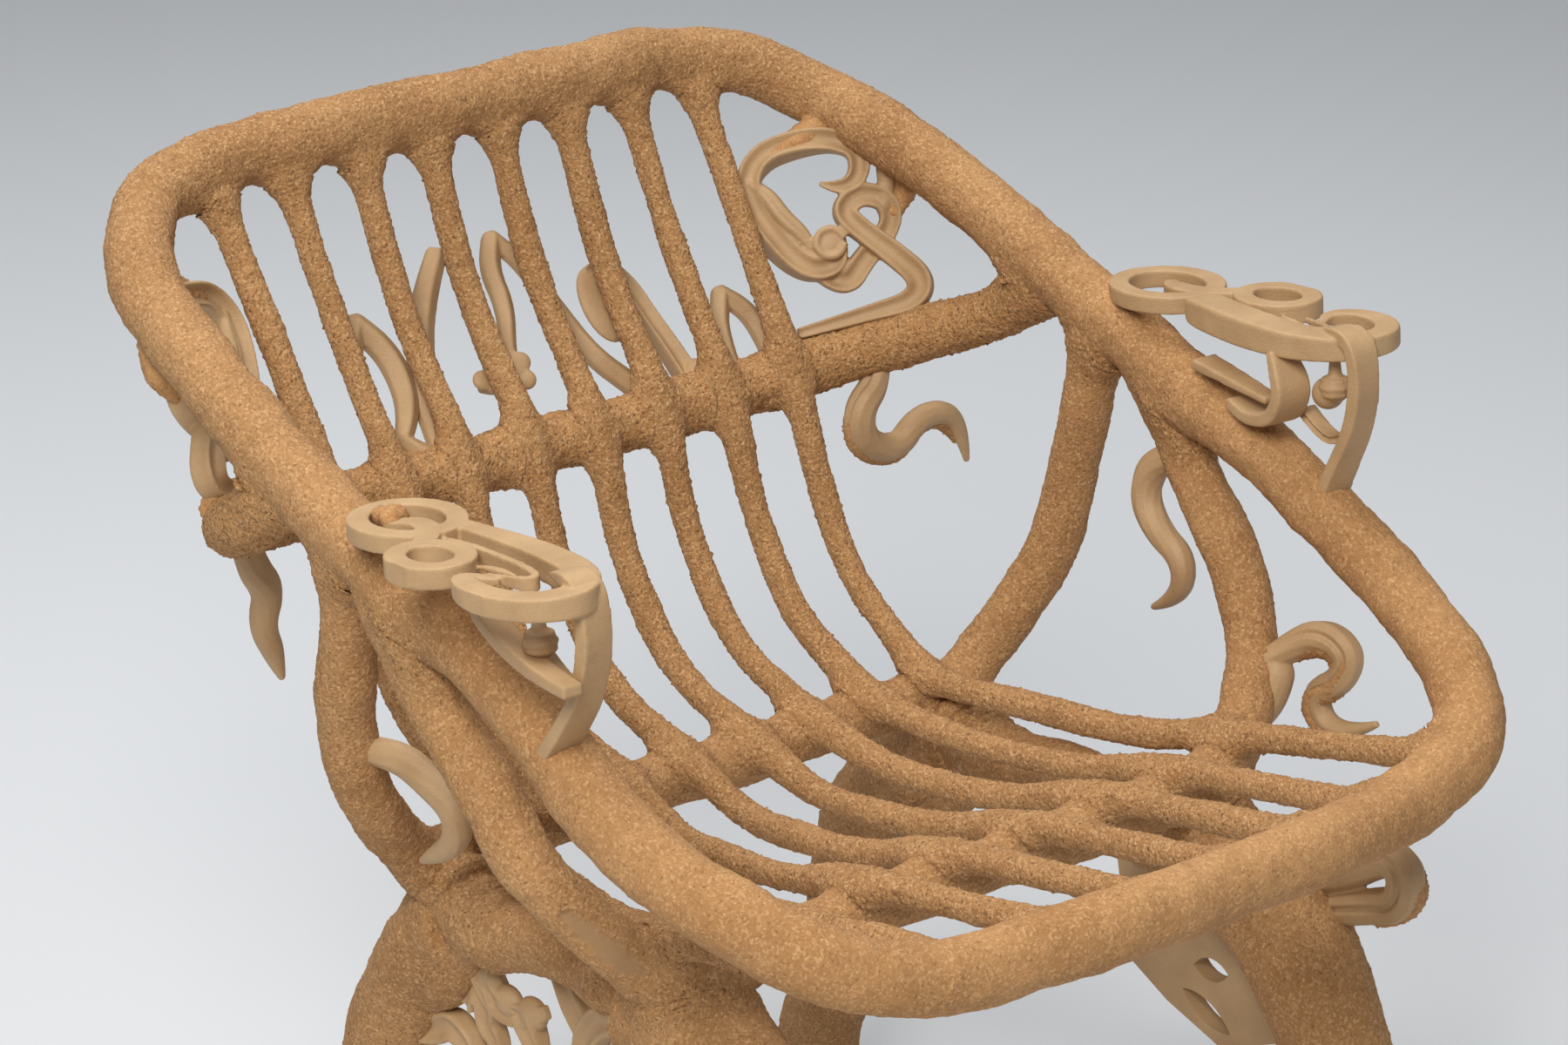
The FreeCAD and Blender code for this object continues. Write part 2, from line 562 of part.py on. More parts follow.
# Tendrils: round clay that grows out of a member; offsets are shares of tendril_span from a
# root on the member's centreline, X outwards
TENDRIL_SHARES = {
    "lumbar_tendril_right": (lumbar_path, 0, 0.86, 1, (
        (-0.07, -0.04, -0.28), (-0.22, -0.08, -0.43), (-0.12, -0.08, -0.66),
        (0.14, -0.08, -0.74), (0.32, -0.08, -0.60), (0.55, -0.08, -0.64),
        (0.70, -0.08, -0.82), (0.75, -0.08, -1.02))),
    "lumbar_tendril_left": (lumbar_path, 0, 0.86, -1, (
        (-0.05, -0.02, -0.28), (-0.17, -0.04, -0.48), (-0.10, -0.04, -0.70),
        (-0.18, -0.04, -0.92), (-0.24, -0.04, -1.12))),
    "hoop_tendril_inner": (front_hoop_path, 1, -0.065, 1, (
        (-0.05, 0.20, -0.16), (-0.10, 0.22, -0.40), (-0.13, 0.00, -0.62),
        (-0.15, -0.17, -0.78), (-0.15, -0.08, -1.00), (-0.13, 0.10, -1.14))),
    "hoop_tendril_outer": (front_hoop_path, 1, -0.33, 1, (
        (0.16, -0.18, 0.20), (0.24, -0.40, 0.35), (0.28, -0.62, 0.27), (0.28, -0.54, 0.04),
        (0.27, -0.32, -0.10), (0.28, -0.38, -0.30), (0.29, -0.63, -0.30),
        (0.30, -0.86, -0.15))),
    "hoop_tendril_left": (rear_hoop_path, 1, 0.21, -1, (
        (-0.15, -0.26, 0.02), (-0.19, -0.56, -0.08), (-0.19, -0.82, -0.16),
        (-0.19, -0.85, -0.36), (-0.19, -0.62, -0.55), (-0.19, -0.44, -0.66))),
}
for name, (member, axis, share, sign, offsets) in TENDRIL_SHARES.items():
    unit_size = size("half_width") * sign if axis == 0 else size("half_depth")
    root = crossing(member, axis, share * unit_size, lambda p, sign=sign: p.x * sign > 0)
    span = size("tendril_span")
    points = [root] + [root + Vector(x * sign, y, z) * span for x, y, z in offsets]
    tendril = tube(name + "_clay", path(name, points), "sizes.tendril_radius")
    carriers = {"lumbar": [lumbar_space], "hoop": [rear_hoop_space, front_hoop_space]}
    ornament(name, [tendril], carriers[name.split("_")[0]])

# Loop at the top of the right front leg, both ends rooted in the leg
rear, arch, front = leg_points("right")
span = size("tendril_span")
loop_start = (front[0] + front[1]) * 0.5
LEG_LOOP_SHARES = ((0.28, -0.49, 0.15), (0.28, -0.71, 0.30), (0.28, -0.93, 0.50),
                   (0.28, -1.20, 0.52), (0.28, -1.16, 0.24), (0.28, -0.88, 0.08))
loop_points = ([loop_start] + [loop_start + Vector(*s) * span for s in LEG_LOOP_SHARES]
               + [front[1]])
leg_loop = tube("leg_loop_clay", path("leg_loop", loop_points), "sizes.tendril_radius")
ornament("leg_loop", [leg_loop], [leg_spaces["right"][1]])

# Scrolls under the left arch, drawn from the middle of the arch bar: Y, Z and a shift in X
LEG_SCROLL_SHARES = {
    "arch_horn": (((-0.36, 0, 0.08), (-0.48, -0.24, 0.08), (-0.59, -0.36, 0.08),
                   (-0.71, -0.48, 0.08), (-0.66, -0.68, 0.08), (-0.50, -0.80, 0.08)),),
    "arch_leaf": (((0.24, -0.03), (0.36, -0.28), (0.31, -0.48), (0.12, -0.57), (-0.10, -0.53),
                   (-0.30, -0.42)),
                  ((-0.08, -0.50), (-0.16, -0.66), (-0.29, -0.80)),
                  ((0.54, -0.70), (0.52, -0.54), (0.37, -0.52), (0.30, -0.62), (0.32, -0.74),
                   (0.20, -0.84), (0.16, -1.04))),
    "arch_curl": (((1.22, -1.12), (0.90, -1.04), (0.72, -0.90), (0.54, -0.96), (0.42, -1.12),
                   (0.48, -1.34)),),
    "arch_bow": (((-1.41, -0.02, -0.08), (-1.14, -0.06, -0.08), (-0.94, -0.20, -0.08),
                  (-0.82, -0.42, -0.08), (-0.88, -0.72, -0.08), (-1.11, -0.90, -0.08)),),
}
left_rear, left_arch, left_front = leg_points("left")
frame = Frame(left_arch[1], Vector(0, 1, 0), Vector(0, 0, 1), size("leg_scroll_span"))
for name, lines in LEG_SCROLL_SHARES.items():
    pieces = []
    for number, shares in enumerate(lines, 1):
        along = path(f"{name}_{number}", frame.line(shares))
        pieces.append(strap(f"{name}_strap_{number}", along, frame.w, "leg_strap_width",
                            "leg_strap_thickness"))
    ornament(name, pieces, leg_spaces["left"])

# Web under the right arch: a flat plate with two lens slits
WEB_SHARES = ((-0.22, -1.10), (-0.60, -1.27), (-1.12, -1.41))
web_corners = [arch[-1]] + [arch[-1] + Vector(0, y, z) * span for y, z in WEB_SHARES]
web_corners += [front[2], front[1], front[0]]
SLITS_SHARES = (((-0.84, -0.91), (-1.16, -0.86)), ((-0.74, -1.12), (-1.20, -1.28)))
half = Vector(size("web_thickness") / 2, 0, 0)
web_outline = doc.addObject("Part::Feature", "web_outline")
web_outline.Shape = Part.Face(Part.makePolygon([p - half for p in web_corners]
                                               + [web_corners[0] - half]))
web = doc.addObject("Part::Extrusion", "web_plate")
web.Base = web_outline
web.DirMode = "Custom"
web.Dir = Vector(1, 0, 0)
web.Solid = True
web.setExpression("LengthFwd", "sizes.web_thickness")
slits = []
SLIT_BOW_SHARE = 0.16
for number, (upper, lower) in enumerate(SLITS_SHARES, 1):
    start, end = [arch[-1] + Vector(0, y, z) * span - half for y, z in (upper, lower)]
    side_way = unit((end - start).cross(Vector(1, 0, 0))) * (SLIT_BOW_SHARE / 2 * span)
    centre = (start + end) * 0.5
    lens = Part.Wire([Part.Arc(start, centre + side_way, end).toShape(),
                      Part.Arc(end, centre - side_way, start).toShape()])
    outline = doc.addObject("Part::Feature", f"slit_outline_{number}")
    outline.Shape = Part.Face(lens)
    slit = doc.addObject("Part::Extrusion", f"slit_{number}")
    slit.Base = outline
    slit.DirMode = "Custom"
    slit.Dir = Vector(1, 0, 0)
    slit.Solid = True
    slit.setExpression("LengthFwd", "sizes.web_thickness")
    slits.append(slit)
ornament("arch_web", [web], leg_spaces["right"] + slits)

# Rebuild, test every object and write each node
doc.recompute()
faults = [o.Name for o in doc.Objects if "Invalid" in o.State or "Error" in o.State]
if faults:
    raise RuntimeError("failed objects: " + ", ".join(faults))
os.makedirs("parts", exist_ok=True)
for name, feature in nodes.items():
    shape = feature.Shape
    pieces = {"slat_rods": SLAT_COUNT, "leg_ties": len(SIDES) * len(ties)}.get(name, 1)
    if shape.isNull() or not shape.isValid() or len(shape.Solids) != pieces:
        print("solids:", [round(solid.Volume) for solid in shape.Solids])
        raise RuntimeError("bad shape: " + name)
    print(f"{name:24s} solids {len(shape.Solids):2d}  faces {len(shape.Faces):4d}  "
          f"volume {shape.Volume / 1000:9.1f} cm3")
for name, feature in nodes.items():
    feature.Shape.exportStep(f"parts/{name}.step")
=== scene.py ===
# %% [markdown]
# # Lounge chair of cork paste and clay
# The real chair looks made by hand: a paste of cork crumbs over a frame, taken to be of steel
# bars, with smooth clay ornament stuck to it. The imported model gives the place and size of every
# part. This lesson gives the parts their looks, in two ways. The paste is one lumpy, granular
# skin that flows from member to member. The clay is bent, rolled and melted piece by piece.

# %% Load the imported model
import json
import math

import bmesh
import bpy
import numpy as np
from mathutils import Matrix, Vector

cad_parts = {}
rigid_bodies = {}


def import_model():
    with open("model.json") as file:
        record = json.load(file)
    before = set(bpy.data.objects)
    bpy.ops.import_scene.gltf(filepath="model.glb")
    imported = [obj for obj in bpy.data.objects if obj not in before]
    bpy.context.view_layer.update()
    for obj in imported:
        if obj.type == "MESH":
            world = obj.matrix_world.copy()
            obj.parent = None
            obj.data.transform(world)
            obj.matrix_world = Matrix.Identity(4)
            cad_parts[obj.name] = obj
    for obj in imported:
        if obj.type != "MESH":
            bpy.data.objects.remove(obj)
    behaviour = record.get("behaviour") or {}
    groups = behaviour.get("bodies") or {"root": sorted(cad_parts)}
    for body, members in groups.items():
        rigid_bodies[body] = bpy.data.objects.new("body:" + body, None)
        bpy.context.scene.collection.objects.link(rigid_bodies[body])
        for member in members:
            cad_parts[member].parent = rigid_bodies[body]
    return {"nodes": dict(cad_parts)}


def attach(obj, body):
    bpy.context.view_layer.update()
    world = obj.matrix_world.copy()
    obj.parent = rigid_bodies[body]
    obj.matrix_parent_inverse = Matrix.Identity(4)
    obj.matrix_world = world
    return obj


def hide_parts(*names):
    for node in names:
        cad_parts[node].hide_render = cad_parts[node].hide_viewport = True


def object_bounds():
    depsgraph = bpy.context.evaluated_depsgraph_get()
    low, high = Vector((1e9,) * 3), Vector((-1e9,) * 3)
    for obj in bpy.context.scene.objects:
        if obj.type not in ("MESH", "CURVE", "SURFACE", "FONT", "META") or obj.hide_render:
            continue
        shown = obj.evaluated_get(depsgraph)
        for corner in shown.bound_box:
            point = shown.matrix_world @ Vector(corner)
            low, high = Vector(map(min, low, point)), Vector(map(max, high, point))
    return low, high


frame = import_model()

cad_low, cad_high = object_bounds()
print("nodes:", len(frame["nodes"]), "box:", [round(v, 3) for v in (*cad_low, *cad_high)])

# %% [markdown]
# The camera stands in front of the chair's left corner, a little above it. It could be placed
# by hand, but an angle, a distance and a lens are easier to write down and to change. The lens
# is long and stands far away, so that the near arm looks only a little larger than the far one.

# %% Camera
AZIMUTH, ELEVATION = math.radians(-38.74), math.radians(22.21)
TARGET = Vector((-0.014, 0.0008, 0.5745))
DISTANCE, LENS, SENSOR = 3.021, 111.2, 36
back = Vector((math.sin(AZIMUTH) * math.cos(ELEVATION),
               -math.cos(AZIMUTH) * math.cos(ELEVATION), math.sin(ELEVATION)))
bpy.ops.object.camera_add(location=TARGET + back * DISTANCE)
camera = bpy.context.object
camera.rotation_mode = "QUATERNION"
camera.rotation_quaternion = (-back).to_track_quat("-Z", "Y")
camera.data.lens, camera.data.sensor_width = LENS, SENSOR
bpy.context.scene.camera = camera
print("camera at", [round(v, 3) for v in camera.location])

# %% [markdown]
# Four bent bars carry the chair: a closed rim, a lumbar rail and two hoops. Their surface could
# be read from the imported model, but a centre line is more useful: it takes any thickness, and it
# tells later which bar a spot of paste belongs to. Each line is a table of shares of three main
# sizes, as in the model's source.

# %% Main sizes and bar shares
HALF_WIDTH, HALF_DEPTH, RIM_HEIGHT = 0.305, 0.380, 0.755
RIM_SHARES = (
    (0.28, -0.998, 0.614), (0.60, -0.949, 0.603), (0.82, -0.916, 0.630), (0.95, -0.751, 0.663),
    (1.00, -0.545, 0.699), (0.98, -0.307, 0.761), (0.99, -0.022, 0.806), (1.00, 0.270, 0.850),
    (0.99, 0.544, 0.902), (0.95, 0.795, 0.940), (0.81, 0.962, 0.979), (0.59, 0.999, 0.996),
    (0.32, 0.977, 1.000),
)
LUMBAR_SHARES = (
    (0.20, 0.707, 0.717), (0.43, 0.707, 0.719), (0.67, 0.696, 0.723), (0.89, 0.632, 0.743),
    (1.00, 0.434, 0.788), (1.00, 0.255, 0.848),
)
REAR_HOOP_SHARES = (
    (0.26, 0.259, 0.485), (0.52, 0.280, 0.479), (0.73, 0.280, 0.479), (0.82, 0.254, 0.524),
    (0.93, 0.217, 0.589), (0.97, 0.201, 0.670), (0.98, 0.163, 0.755), (0.995, 0.150, 0.832),
)
FRONT_HOOP_SHARES = (
    (0.28, -0.457, 0.527), (0.56, -0.438, 0.522), (0.77, -0.393, 0.517), (0.88, -0.348, 0.566),
    (0.96, -0.282, 0.609), (0.97, -0.210, 0.662), (1.00, -0.073, 0.726), (1.00, 0.064, 0.818),
)


def place(x, y, z):
    return Vector((x * HALF_WIDTH, y * HALF_DEPTH, z * RIM_HEIGHT))


def both_sides(shares):
    half = [place(*s) for s in shares]
    return [Vector((-p.x, p.y, p.z)) for p in half[::-1]] + half


print("rail from", [round(v, 3) for v in both_sides(LUMBAR_SHARES)[0]])

# %% [markdown]
# A bent bar is straight runs joined by round bends. A spline through the corners would overshoot
# between them, so each corner gets an arc that touches both runs, and the line is cut into short
# steps of even length.

# %% Bar lines
STEP = 0.004
BEND_SHARE = 0.45


def route(points, closed=False):
    """Straight runs joined by arcs, as short steps along the line."""
    count, arcs = len(points), []
    for i in range(count) if closed else range(1, count - 1):
        before, corner, after = points[i - 1], points[i], points[(i + 1) % count]
        a, b = (before - corner).normalized(), (after - corner).normalized()
        reach = BEND_SHARE * min((before - corner).length, (after - corner).length)
        turn = math.pi - a.angle(b)
        radius = reach / math.tan(turn / 2)
        inward = (a + b).normalized()
        centre = corner + inward * (radius / math.cos(turn / 2))
        start, end = corner + a * reach, corner + b * reach
        steps = max(2, round(radius * turn / STEP))
        axis = (start - centre).cross(end - centre).normalized()
        arcs.append([centre + Matrix.Rotation(turn * k / steps, 3, axis) @ (start - centre)
                     for k in range(steps + 1)])
    line = []
    last = arcs[-1][-1] if closed else points[0]
    for arc in arcs + ([] if closed else [[points[-1]]]):
        steps = max(1, round((arc[0] - last).length / STEP))
        line += [last.lerp(arc[0], k / steps) for k in range(steps)]
        line += arc[:-1] if len(arc) > 1 else arc
        last = arc[-1]
    return line


rim_line = route([place(*s) for s in RIM_SHARES]
                 + [place(-x, y, z) for x, y, z in RIM_SHARES[::-1]], closed=True)
lumbar_line = route(both_sides(LUMBAR_SHARES))
rear_line = route(both_sides(REAR_HOOP_SHARES))
front_line = route(both_sides(FRONT_HOOP_SHARES))
print("steps:", len(rim_line), len(lumbar_line), len(rear_line), len(front_line))

# %% [markdown]
# Eight slats run in a scoop from the top rail over three bars to the front rail. Each slat could
# have a table of its own, but then nothing would line up. Instead a slat's number gives its place
# across, and every slat takes its ends and rests from where the bars really are. Between the
# bars, its places shift a little with how far out the slat stands.

# %% Slat routes
SLAT_COUNT, SLAT_SHIFT_SHARE, SLAT_STAND_OFF = 8, 0.008, 0.020
TOP_PITCH, LUMBAR_PITCH, REAR_PITCH, FRONT_PITCH = 0.183, 0.177, 0.171, 0.212
UPPER_BACK_SHARES = (0.857, 0.845, -0.041, 0.019)
LOWER_BACK_SHARES = ((0.610, 0.630, -0.050, 0.003), (0.463, 0.532, 0.005, 0.033))
SEAT_SHARES = ((0.057, 0.482, -0.035, 0.030), (-0.244, 0.507, 0.041, 0.013))


def crossing(line, axis, value, keep=lambda p: True):
    """Where a line crosses a plane of constant X (axis 0) or Y (axis 1)."""
    for p, q in zip(line, line[1:]):
        low, high = p[axis] - value, q[axis] - value
        if low * high <= 0 and low != high and keep(p):
            return p.lerp(q, low / (low - high))
    raise ValueError("the line doesn't cross that plane")


def slat_points(number):
    steps = number - (SLAT_COUNT + 1) / 2
    outward = (steps / ((SLAT_COUNT - 1) / 2)) ** 2

    def across(pitch):
        return (SLAT_SHIFT_SHARE + steps * pitch) * HALF_WIDTH

    def station(pitch, shares):
        y, z, y_more, z_more = shares
        return Vector((across(pitch), (y + y_more * outward) * HALF_DEPTH,
                       (z + z_more * outward) * RIM_HEIGHT))

    def over(line, pitch, facing):
        return crossing(line, 0, across(pitch)) + Vector(facing).normalized() * SLAT_STAND_OFF

    return [
        crossing(rim_line, 0, across(TOP_PITCH), lambda p: p.y > 0),
        station((TOP_PITCH + LUMBAR_PITCH) / 2, UPPER_BACK_SHARES),
        over(lumbar_line, LUMBAR_PITCH, (0, -0.88, 0.47)),
        station((2 * LUMBAR_PITCH + REAR_PITCH) / 3, LOWER_BACK_SHARES[0]),
        station((LUMBAR_PITCH + 2 * REAR_PITCH) / 3, LOWER_BACK_SHARES[1]),
        over(rear_line, REAR_PITCH, (0, -0.60, 0.80)),
        station((2 * REAR_PITCH + FRONT_PITCH) / 3, SEAT_SHARES[0]),
        station((REAR_PITCH + 2 * FRONT_PITCH) / 3, SEAT_SHARES[1]),
        over(front_line, FRONT_PITCH, (0, 0, 1)),
        crossing(rim_line, 0, across(FRONT_PITCH), lambda p: p.y < 0),
    ]


slat_lines = {f"slat_{n}": route(slat_points(n)) for n in range(1, SLAT_COUNT + 1)}
print("slats:", len(slat_lines))

# %% [markdown]
# Each side stands on one line: from the rear foot up to the rear hoop, over an arch to the front
# hoop, and down to the front foot. The legs end where they touch a hoop, a little pressed into
# it, as soft paste is. All the members are kept in one table of line, radius and closed or open.

# %% Leg routes and members
LEG_PLANE_SHARE = 0.68
REAR_LEG_SHARES = {
    "left": ((0.609, 0.000), (0.609, 0.060), (0.522, 0.146), (0.486, 0.219), (0.443, 0.285),
             (0.372, 0.347)),
    "right": ((0.628, 0.000), (0.628, 0.060), (0.549, 0.146), (0.528, 0.225), (0.507, 0.298),
              (0.425, 0.360)),
}
ARCH_SHARES = ((0.154, 0.440), (0.067, 0.448), (-0.030, 0.457), (-0.193, 0.464))
ARCH_START_SHARES = (0.285, 0.360)
FRONT_LEG_SHARES = (
    (-0.628, 0.417), (-0.736, 0.338), (-0.793, 0.238), (-0.830, 0.119), (-0.830, 0.000),
)
RIM_RADIUS, LUMBAR_RADIUS, HOOP_RADIUS, SLAT_RADIUS = 0.023, 0.020, 0.019, 0.0095
REAR_LEG_RADIUS, FRONT_LEG_RADIUS, ARCH_RADIUS = 0.031, 0.038, 0.020
REAR_PRESS, FRONT_PRESS = 0.003, 0.012
SIDES = {"left": -1, "right": 1}


def leg_points(side):
    x = SIDES[side] * LEG_PLANE_SHARE * HALF_WIDTH

    def flat(shares):
        return [Vector((x, y * HALF_DEPTH, z * RIM_HEIGHT)) for y, z in shares]

    def under(line, drop):
        return [crossing(line, 0, x) - Vector((0, 0, drop))]

    rear = flat(REAR_LEG_SHARES[side]) + under(
        rear_line, HOOP_RADIUS + REAR_LEG_RADIUS - REAR_PRESS)
    front = under(front_line, HOOP_RADIUS + FRONT_LEG_RADIUS - FRONT_PRESS) + flat(
        FRONT_LEG_SHARES)
    return rear, flat(ARCH_SHARES), front, flat([ARCH_START_SHARES])


members = {"rim": (rim_line, RIM_RADIUS, True),
           "lumbar_rail": (lumbar_line, LUMBAR_RADIUS, False),
           "rear_hoop": (rear_line, HOOP_RADIUS, False),
           "front_hoop": (front_line, HOOP_RADIUS, False)}
members.update({name: (line, SLAT_RADIUS, False) for name, line in slat_lines.items()})
for side in SIDES:
    rear, arch, front, start = leg_points(side)
    rear_joint, front_joint = (rear[-1] + arch[0]) / 2, (arch[-1] + front[0]) / 2
    bar = [rear[-2]] + start + arch + [front_joint]
    members[f"rear_leg_{side}"] = (route(rear + [rear_joint]), REAR_LEG_RADIUS, False)
    members[f"front_leg_{side}"] = (route([front_joint] + front), FRONT_LEG_RADIUS, False)
    members[f"arch_bar_{side}"] = (route(bar), ARCH_RADIUS, False)
print("members:", len(members))

# %% [markdown]
# A member starts as a tube. A plain tube looks drawn, so its thickness wanders a little along
# the line, as paste packed by hand does, and a slat swells where it rests on a bar. A curve with
# a radius at each point does this with far less work than shaping a mesh. One more short tube
# per side is the paste packed into the crook between the rear hoop and the arch.

# %% Tubes
SWELL_SHARE, SWELL_START, SWELL_REACH = 0.12, 0.024, 0.018
SLAT_WANDER, BAR_WANDER = (0.0006, 0.05), (0.0010, 0.09)
BAR_SLIMMER, RIM_SLIMMER = 0.0006, 0.0008
CROOK_SAG, CROOK_RADII = 0.006, (0.018, 0.0225, 0.021)
rng = np.random.default_rng(7)


def wander(count, depth, length):
    """A smooth random line with no trend: depth is its half height, length its wave length."""
    knots = rng.uniform(-1, 1, max(4, int(count * STEP / length) + 3))
    at = np.linspace(0, len(knots) - 1.001, count)
    low = at.astype(int)
    part = at - low
    part = part * part * (3 - 2 * part)
    return depth * (knots[low] * (1 - part) + knots[low + 1] * part)


def new_object(name, data):
    piece = bpy.data.objects.new(name, data)
    bpy.context.scene.collection.objects.link(piece)
    return piece


def tube(name, line, radii, closed=False):
    data = bpy.data.curves.new(name, "CURVE")
    data.dimensions = "3D"
    data.bevel_depth, data.bevel_resolution, data.use_fill_caps = 1.0, 8, True
    spline = data.splines.new("POLY")
    spline.points.add(len(line) - 1)
    spline.points.foreach_set("co", [c for p in line for c in (*p, 1)])
    spline.points.foreach_set("radius", list(radii))
    spline.use_cyclic_u = closed
    return new_object(name, data)


bars = [rim_line, lumbar_line, rear_line, front_line]
bar_points = np.array([p for line in bars for p in line])
tubes = []
for name, (line, radius, closed) in members.items():
    radii = np.full(len(line), radius)
    if name.startswith("slat"):
        gap = np.array([np.linalg.norm(bar_points - np.array(p), axis=1).min() for p in line])
        past = np.clip(gap - SWELL_START, 0, None) / SWELL_REACH
        radii += wander(len(line), *SLAT_WANDER)
        radii *= 1 + SWELL_SHARE * np.exp(-past ** 2)
    elif not closed:
        radii += wander(len(line), *BAR_WANDER) - BAR_SLIMMER
    else:
        radii -= RIM_SLIMMER
    tubes.append(tube(name, line, radii, closed))
for side in SIDES:
    rear, arch = leg_points(side)[:2]
    seat = crossing(rear_line, 0, rear[0].x)
    crook = [seat, seat.lerp(arch[0], 0.5) - Vector((0, 0, CROOK_SAG)), arch[0]]
    tubes.append(tube("crook", crook, CROOK_RADII))
print("tubes:", len(tubes))

# %% [markdown]
# On the real chair no joint shows: the paste runs from one member into the next. Joining tubes
# with booleans would leave hard creases and can fail where tubes nearly touch. A voxel remesh
# turns all the tubes at once into a single closed skin of even, small faces, which the next
# steps can push about like real paste.

# %% One skin
SKIN_VOXEL = 0.0023


def only(*objects):
    """Select these objects and nothing else, because an operator acts on all that is selected."""
    bpy.ops.object.select_all(action="DESELECT")
    for o in objects:
        o.select_set(True)
    bpy.context.view_layer.objects.active = objects[0]


def to_mesh(*objects):
    """Convert the objects to meshes and join them into one."""
    only(*objects)
    bpy.ops.object.convert(target="MESH")
    if len(bpy.context.selected_objects) > 1:
        bpy.ops.object.join()
    return bpy.context.object


def apply_modifier(piece, kind, **settings):
    modifier = piece.modifiers.new(kind.lower(), kind)
    for key, value in settings.items():
        setattr(modifier, key, value)
    only(piece)
    bpy.ops.object.modifier_apply(modifier=modifier.name)


skin = to_mesh(*tubes)
skin.name = "skin"
apply_modifier(skin, "REMESH", mode="VOXEL", voxel_size=SKIN_VOXEL)
print("skin faces:", len(skin.data.polygons))

# %% [markdown]
# To shape the paste by member, each point of the skin has to know which members are near. The
# whole table of distances would be huge, so each line is taken a short stretch at a time, and
# only the points around that stretch are measured. The two nearest members are kept.

# %% Nearest members
STRETCH_STEPS, LOOK_REACH, FAR = 12, 0.045, 1.0


def read(mesh, kind="co"):
    """The mesh's places, or the normals of its points, as rows of three numbers."""
    values = np.empty(len(mesh.vertices) * 3, np.float32)
    if kind == "co":
        mesh.vertices.foreach_get("co", values)
    else:
        mesh.vertex_normals.foreach_get("vector", values)
    return values.reshape(-1, 3).astype(float)


def write(mesh, points):
    mesh.vertices.foreach_set("co", points.astype(np.float32).ravel())
    mesh.update()


def gap_to_member(points, line, radius):
    """Each point's gap to one member's surface, and its way out from the member's line."""
    samples = np.array([list(p) for p in line])
    best, way = np.full(len(points), FAR), np.zeros((len(points), 3))
    for start in range(0, len(samples), STRETCH_STEPS):
        stretch = samples[start:start + STRETCH_STEPS + 1]
        low = stretch.min(0) - radius - LOOK_REACH
        high = stretch.max(0) + radius + LOOK_REACH
        inside = np.nonzero(np.all((points > low) & (points < high), axis=1))[0]
        if not len(inside):
            continue
        offsets = points[inside, None] - stretch[None]
        away = np.linalg.norm(offsets, axis=2)
        pick, rows = away.argmin(1), np.arange(len(inside))
        gap = away[rows, pick] - radius
        better = gap < best[inside]
        best[inside[better]] = gap[better]
        way[inside[better]] = (offsets[rows, pick] / away[rows, pick, None])[better]
    return best, way


def nearest_members(points):
    """For each point the two nearest members: their numbers, gaps and ways out."""
    gaps = np.full((2, len(points)), FAR)
    owner = np.zeros((2, len(points)), int)
    ways = np.zeros((2, len(points), 3))
    for index, (line, radius, closed) in enumerate(members.values()):
        best, way = gap_to_member(points, line, radius)
        first, second = best < gaps[0], (best >= gaps[0]) & (best < gaps[1])
        for array, value in ((gaps, best), (owner, np.full(len(points), index)), (ways, way)):
            array[1][first] = array[0][first]
            array[0][first] = value[first]
            array[1][second] = value[second]
    return owner, gaps, ways


names = list(members)
before = read(skin.data)
owners, gaps, ways = nearest_members(before)
print("mean gap to a member: %.2f mm" % (1000 * gaps[0].mean()))

# %% [markdown]
# Where two members meet at an angle, a maker presses the paste into a fillet with the thumb. A
# bevel needs a clean edge to work on, and a remeshed skin has none. So the skin is pushed
# outwards in the crease, most where both members are equally near and hardly at all where their
# surfaces face the same way, and is then smoothed. The arch bar has the widest fillet, where it
# meets the rear hoop and the rear leg.

# %% Fillets
WIDE_FILLET, BAR_FILLET, RIM_SLAT_FILLET, SLAT_FILLET = 0.062, 0.034, 0.026, 0.017
FILLET_RISE, ANGLE_START, BLEND_GAIN = 3.0, 1.15, 4


def fillet_reach(first, second):
    """How far a fillet reaches between two members, by what they are."""
    pair = {names[first].split("_")[0], names[second].split("_")[0]}
    if pair == {"rear", "arch"}:
        return WIDE_FILLET
    if "slat" not in pair:
        return BAR_FILLET
    return RIM_SLAT_FILLET if "rim" in pair else SLAT_FILLET


reaches = np.array([[fillet_reach(a, b) for b in range(len(names))] for a in range(len(names))])
fillet = reaches[owners[0], owners[1]]
near = np.clip(1 - np.clip(gaps[1] - gaps[0], 0, None) / fillet, 0, 1)
near *= np.clip(ANGLE_START - (ways[0] * ways[1]).sum(1), 0, 1)
rise = near * near * fillet / FILLET_RISE
write(skin.data, before + read(skin.data, "normal") * rise[:, None])
apply_modifier(skin, "SMOOTH", factor=0.5, iterations=8)
blend = np.clip(near * BLEND_GAIN, 0, 1)[:, None]
write(skin.data, read(skin.data) * blend + before * (1 - blend))
apply_modifier(skin, "SMOOTH", factor=0.5, iterations=1)
print("filleted points:", int((near > 0).sum()))

# %% [markdown]
# Later the skin is cut so that every member is a piece of its own. Each point belongs to its
# nearest member, but at a joint that leaves ragged edges and lone islands. A few rounds of
# voting among neighbours straighten the border, as an eye would.

# %% Owners
VOTE_ROUNDS = 6


def vote(owner, edges):
    """Each point takes the member that most of its neighbours and itself have."""
    count = len(names)
    for _ in range(VOTE_ROUNDS):
        votes = np.bincount(np.concatenate((edges[:, 0] * count + owner[edges[:, 1]],
                                            edges[:, 1] * count + owner[edges[:, 0]],
                                            np.arange(len(owner)) * count + owner)),
                            minlength=len(owner) * count)
        owner = votes.reshape(-1, count).argmax(1)
    return owner


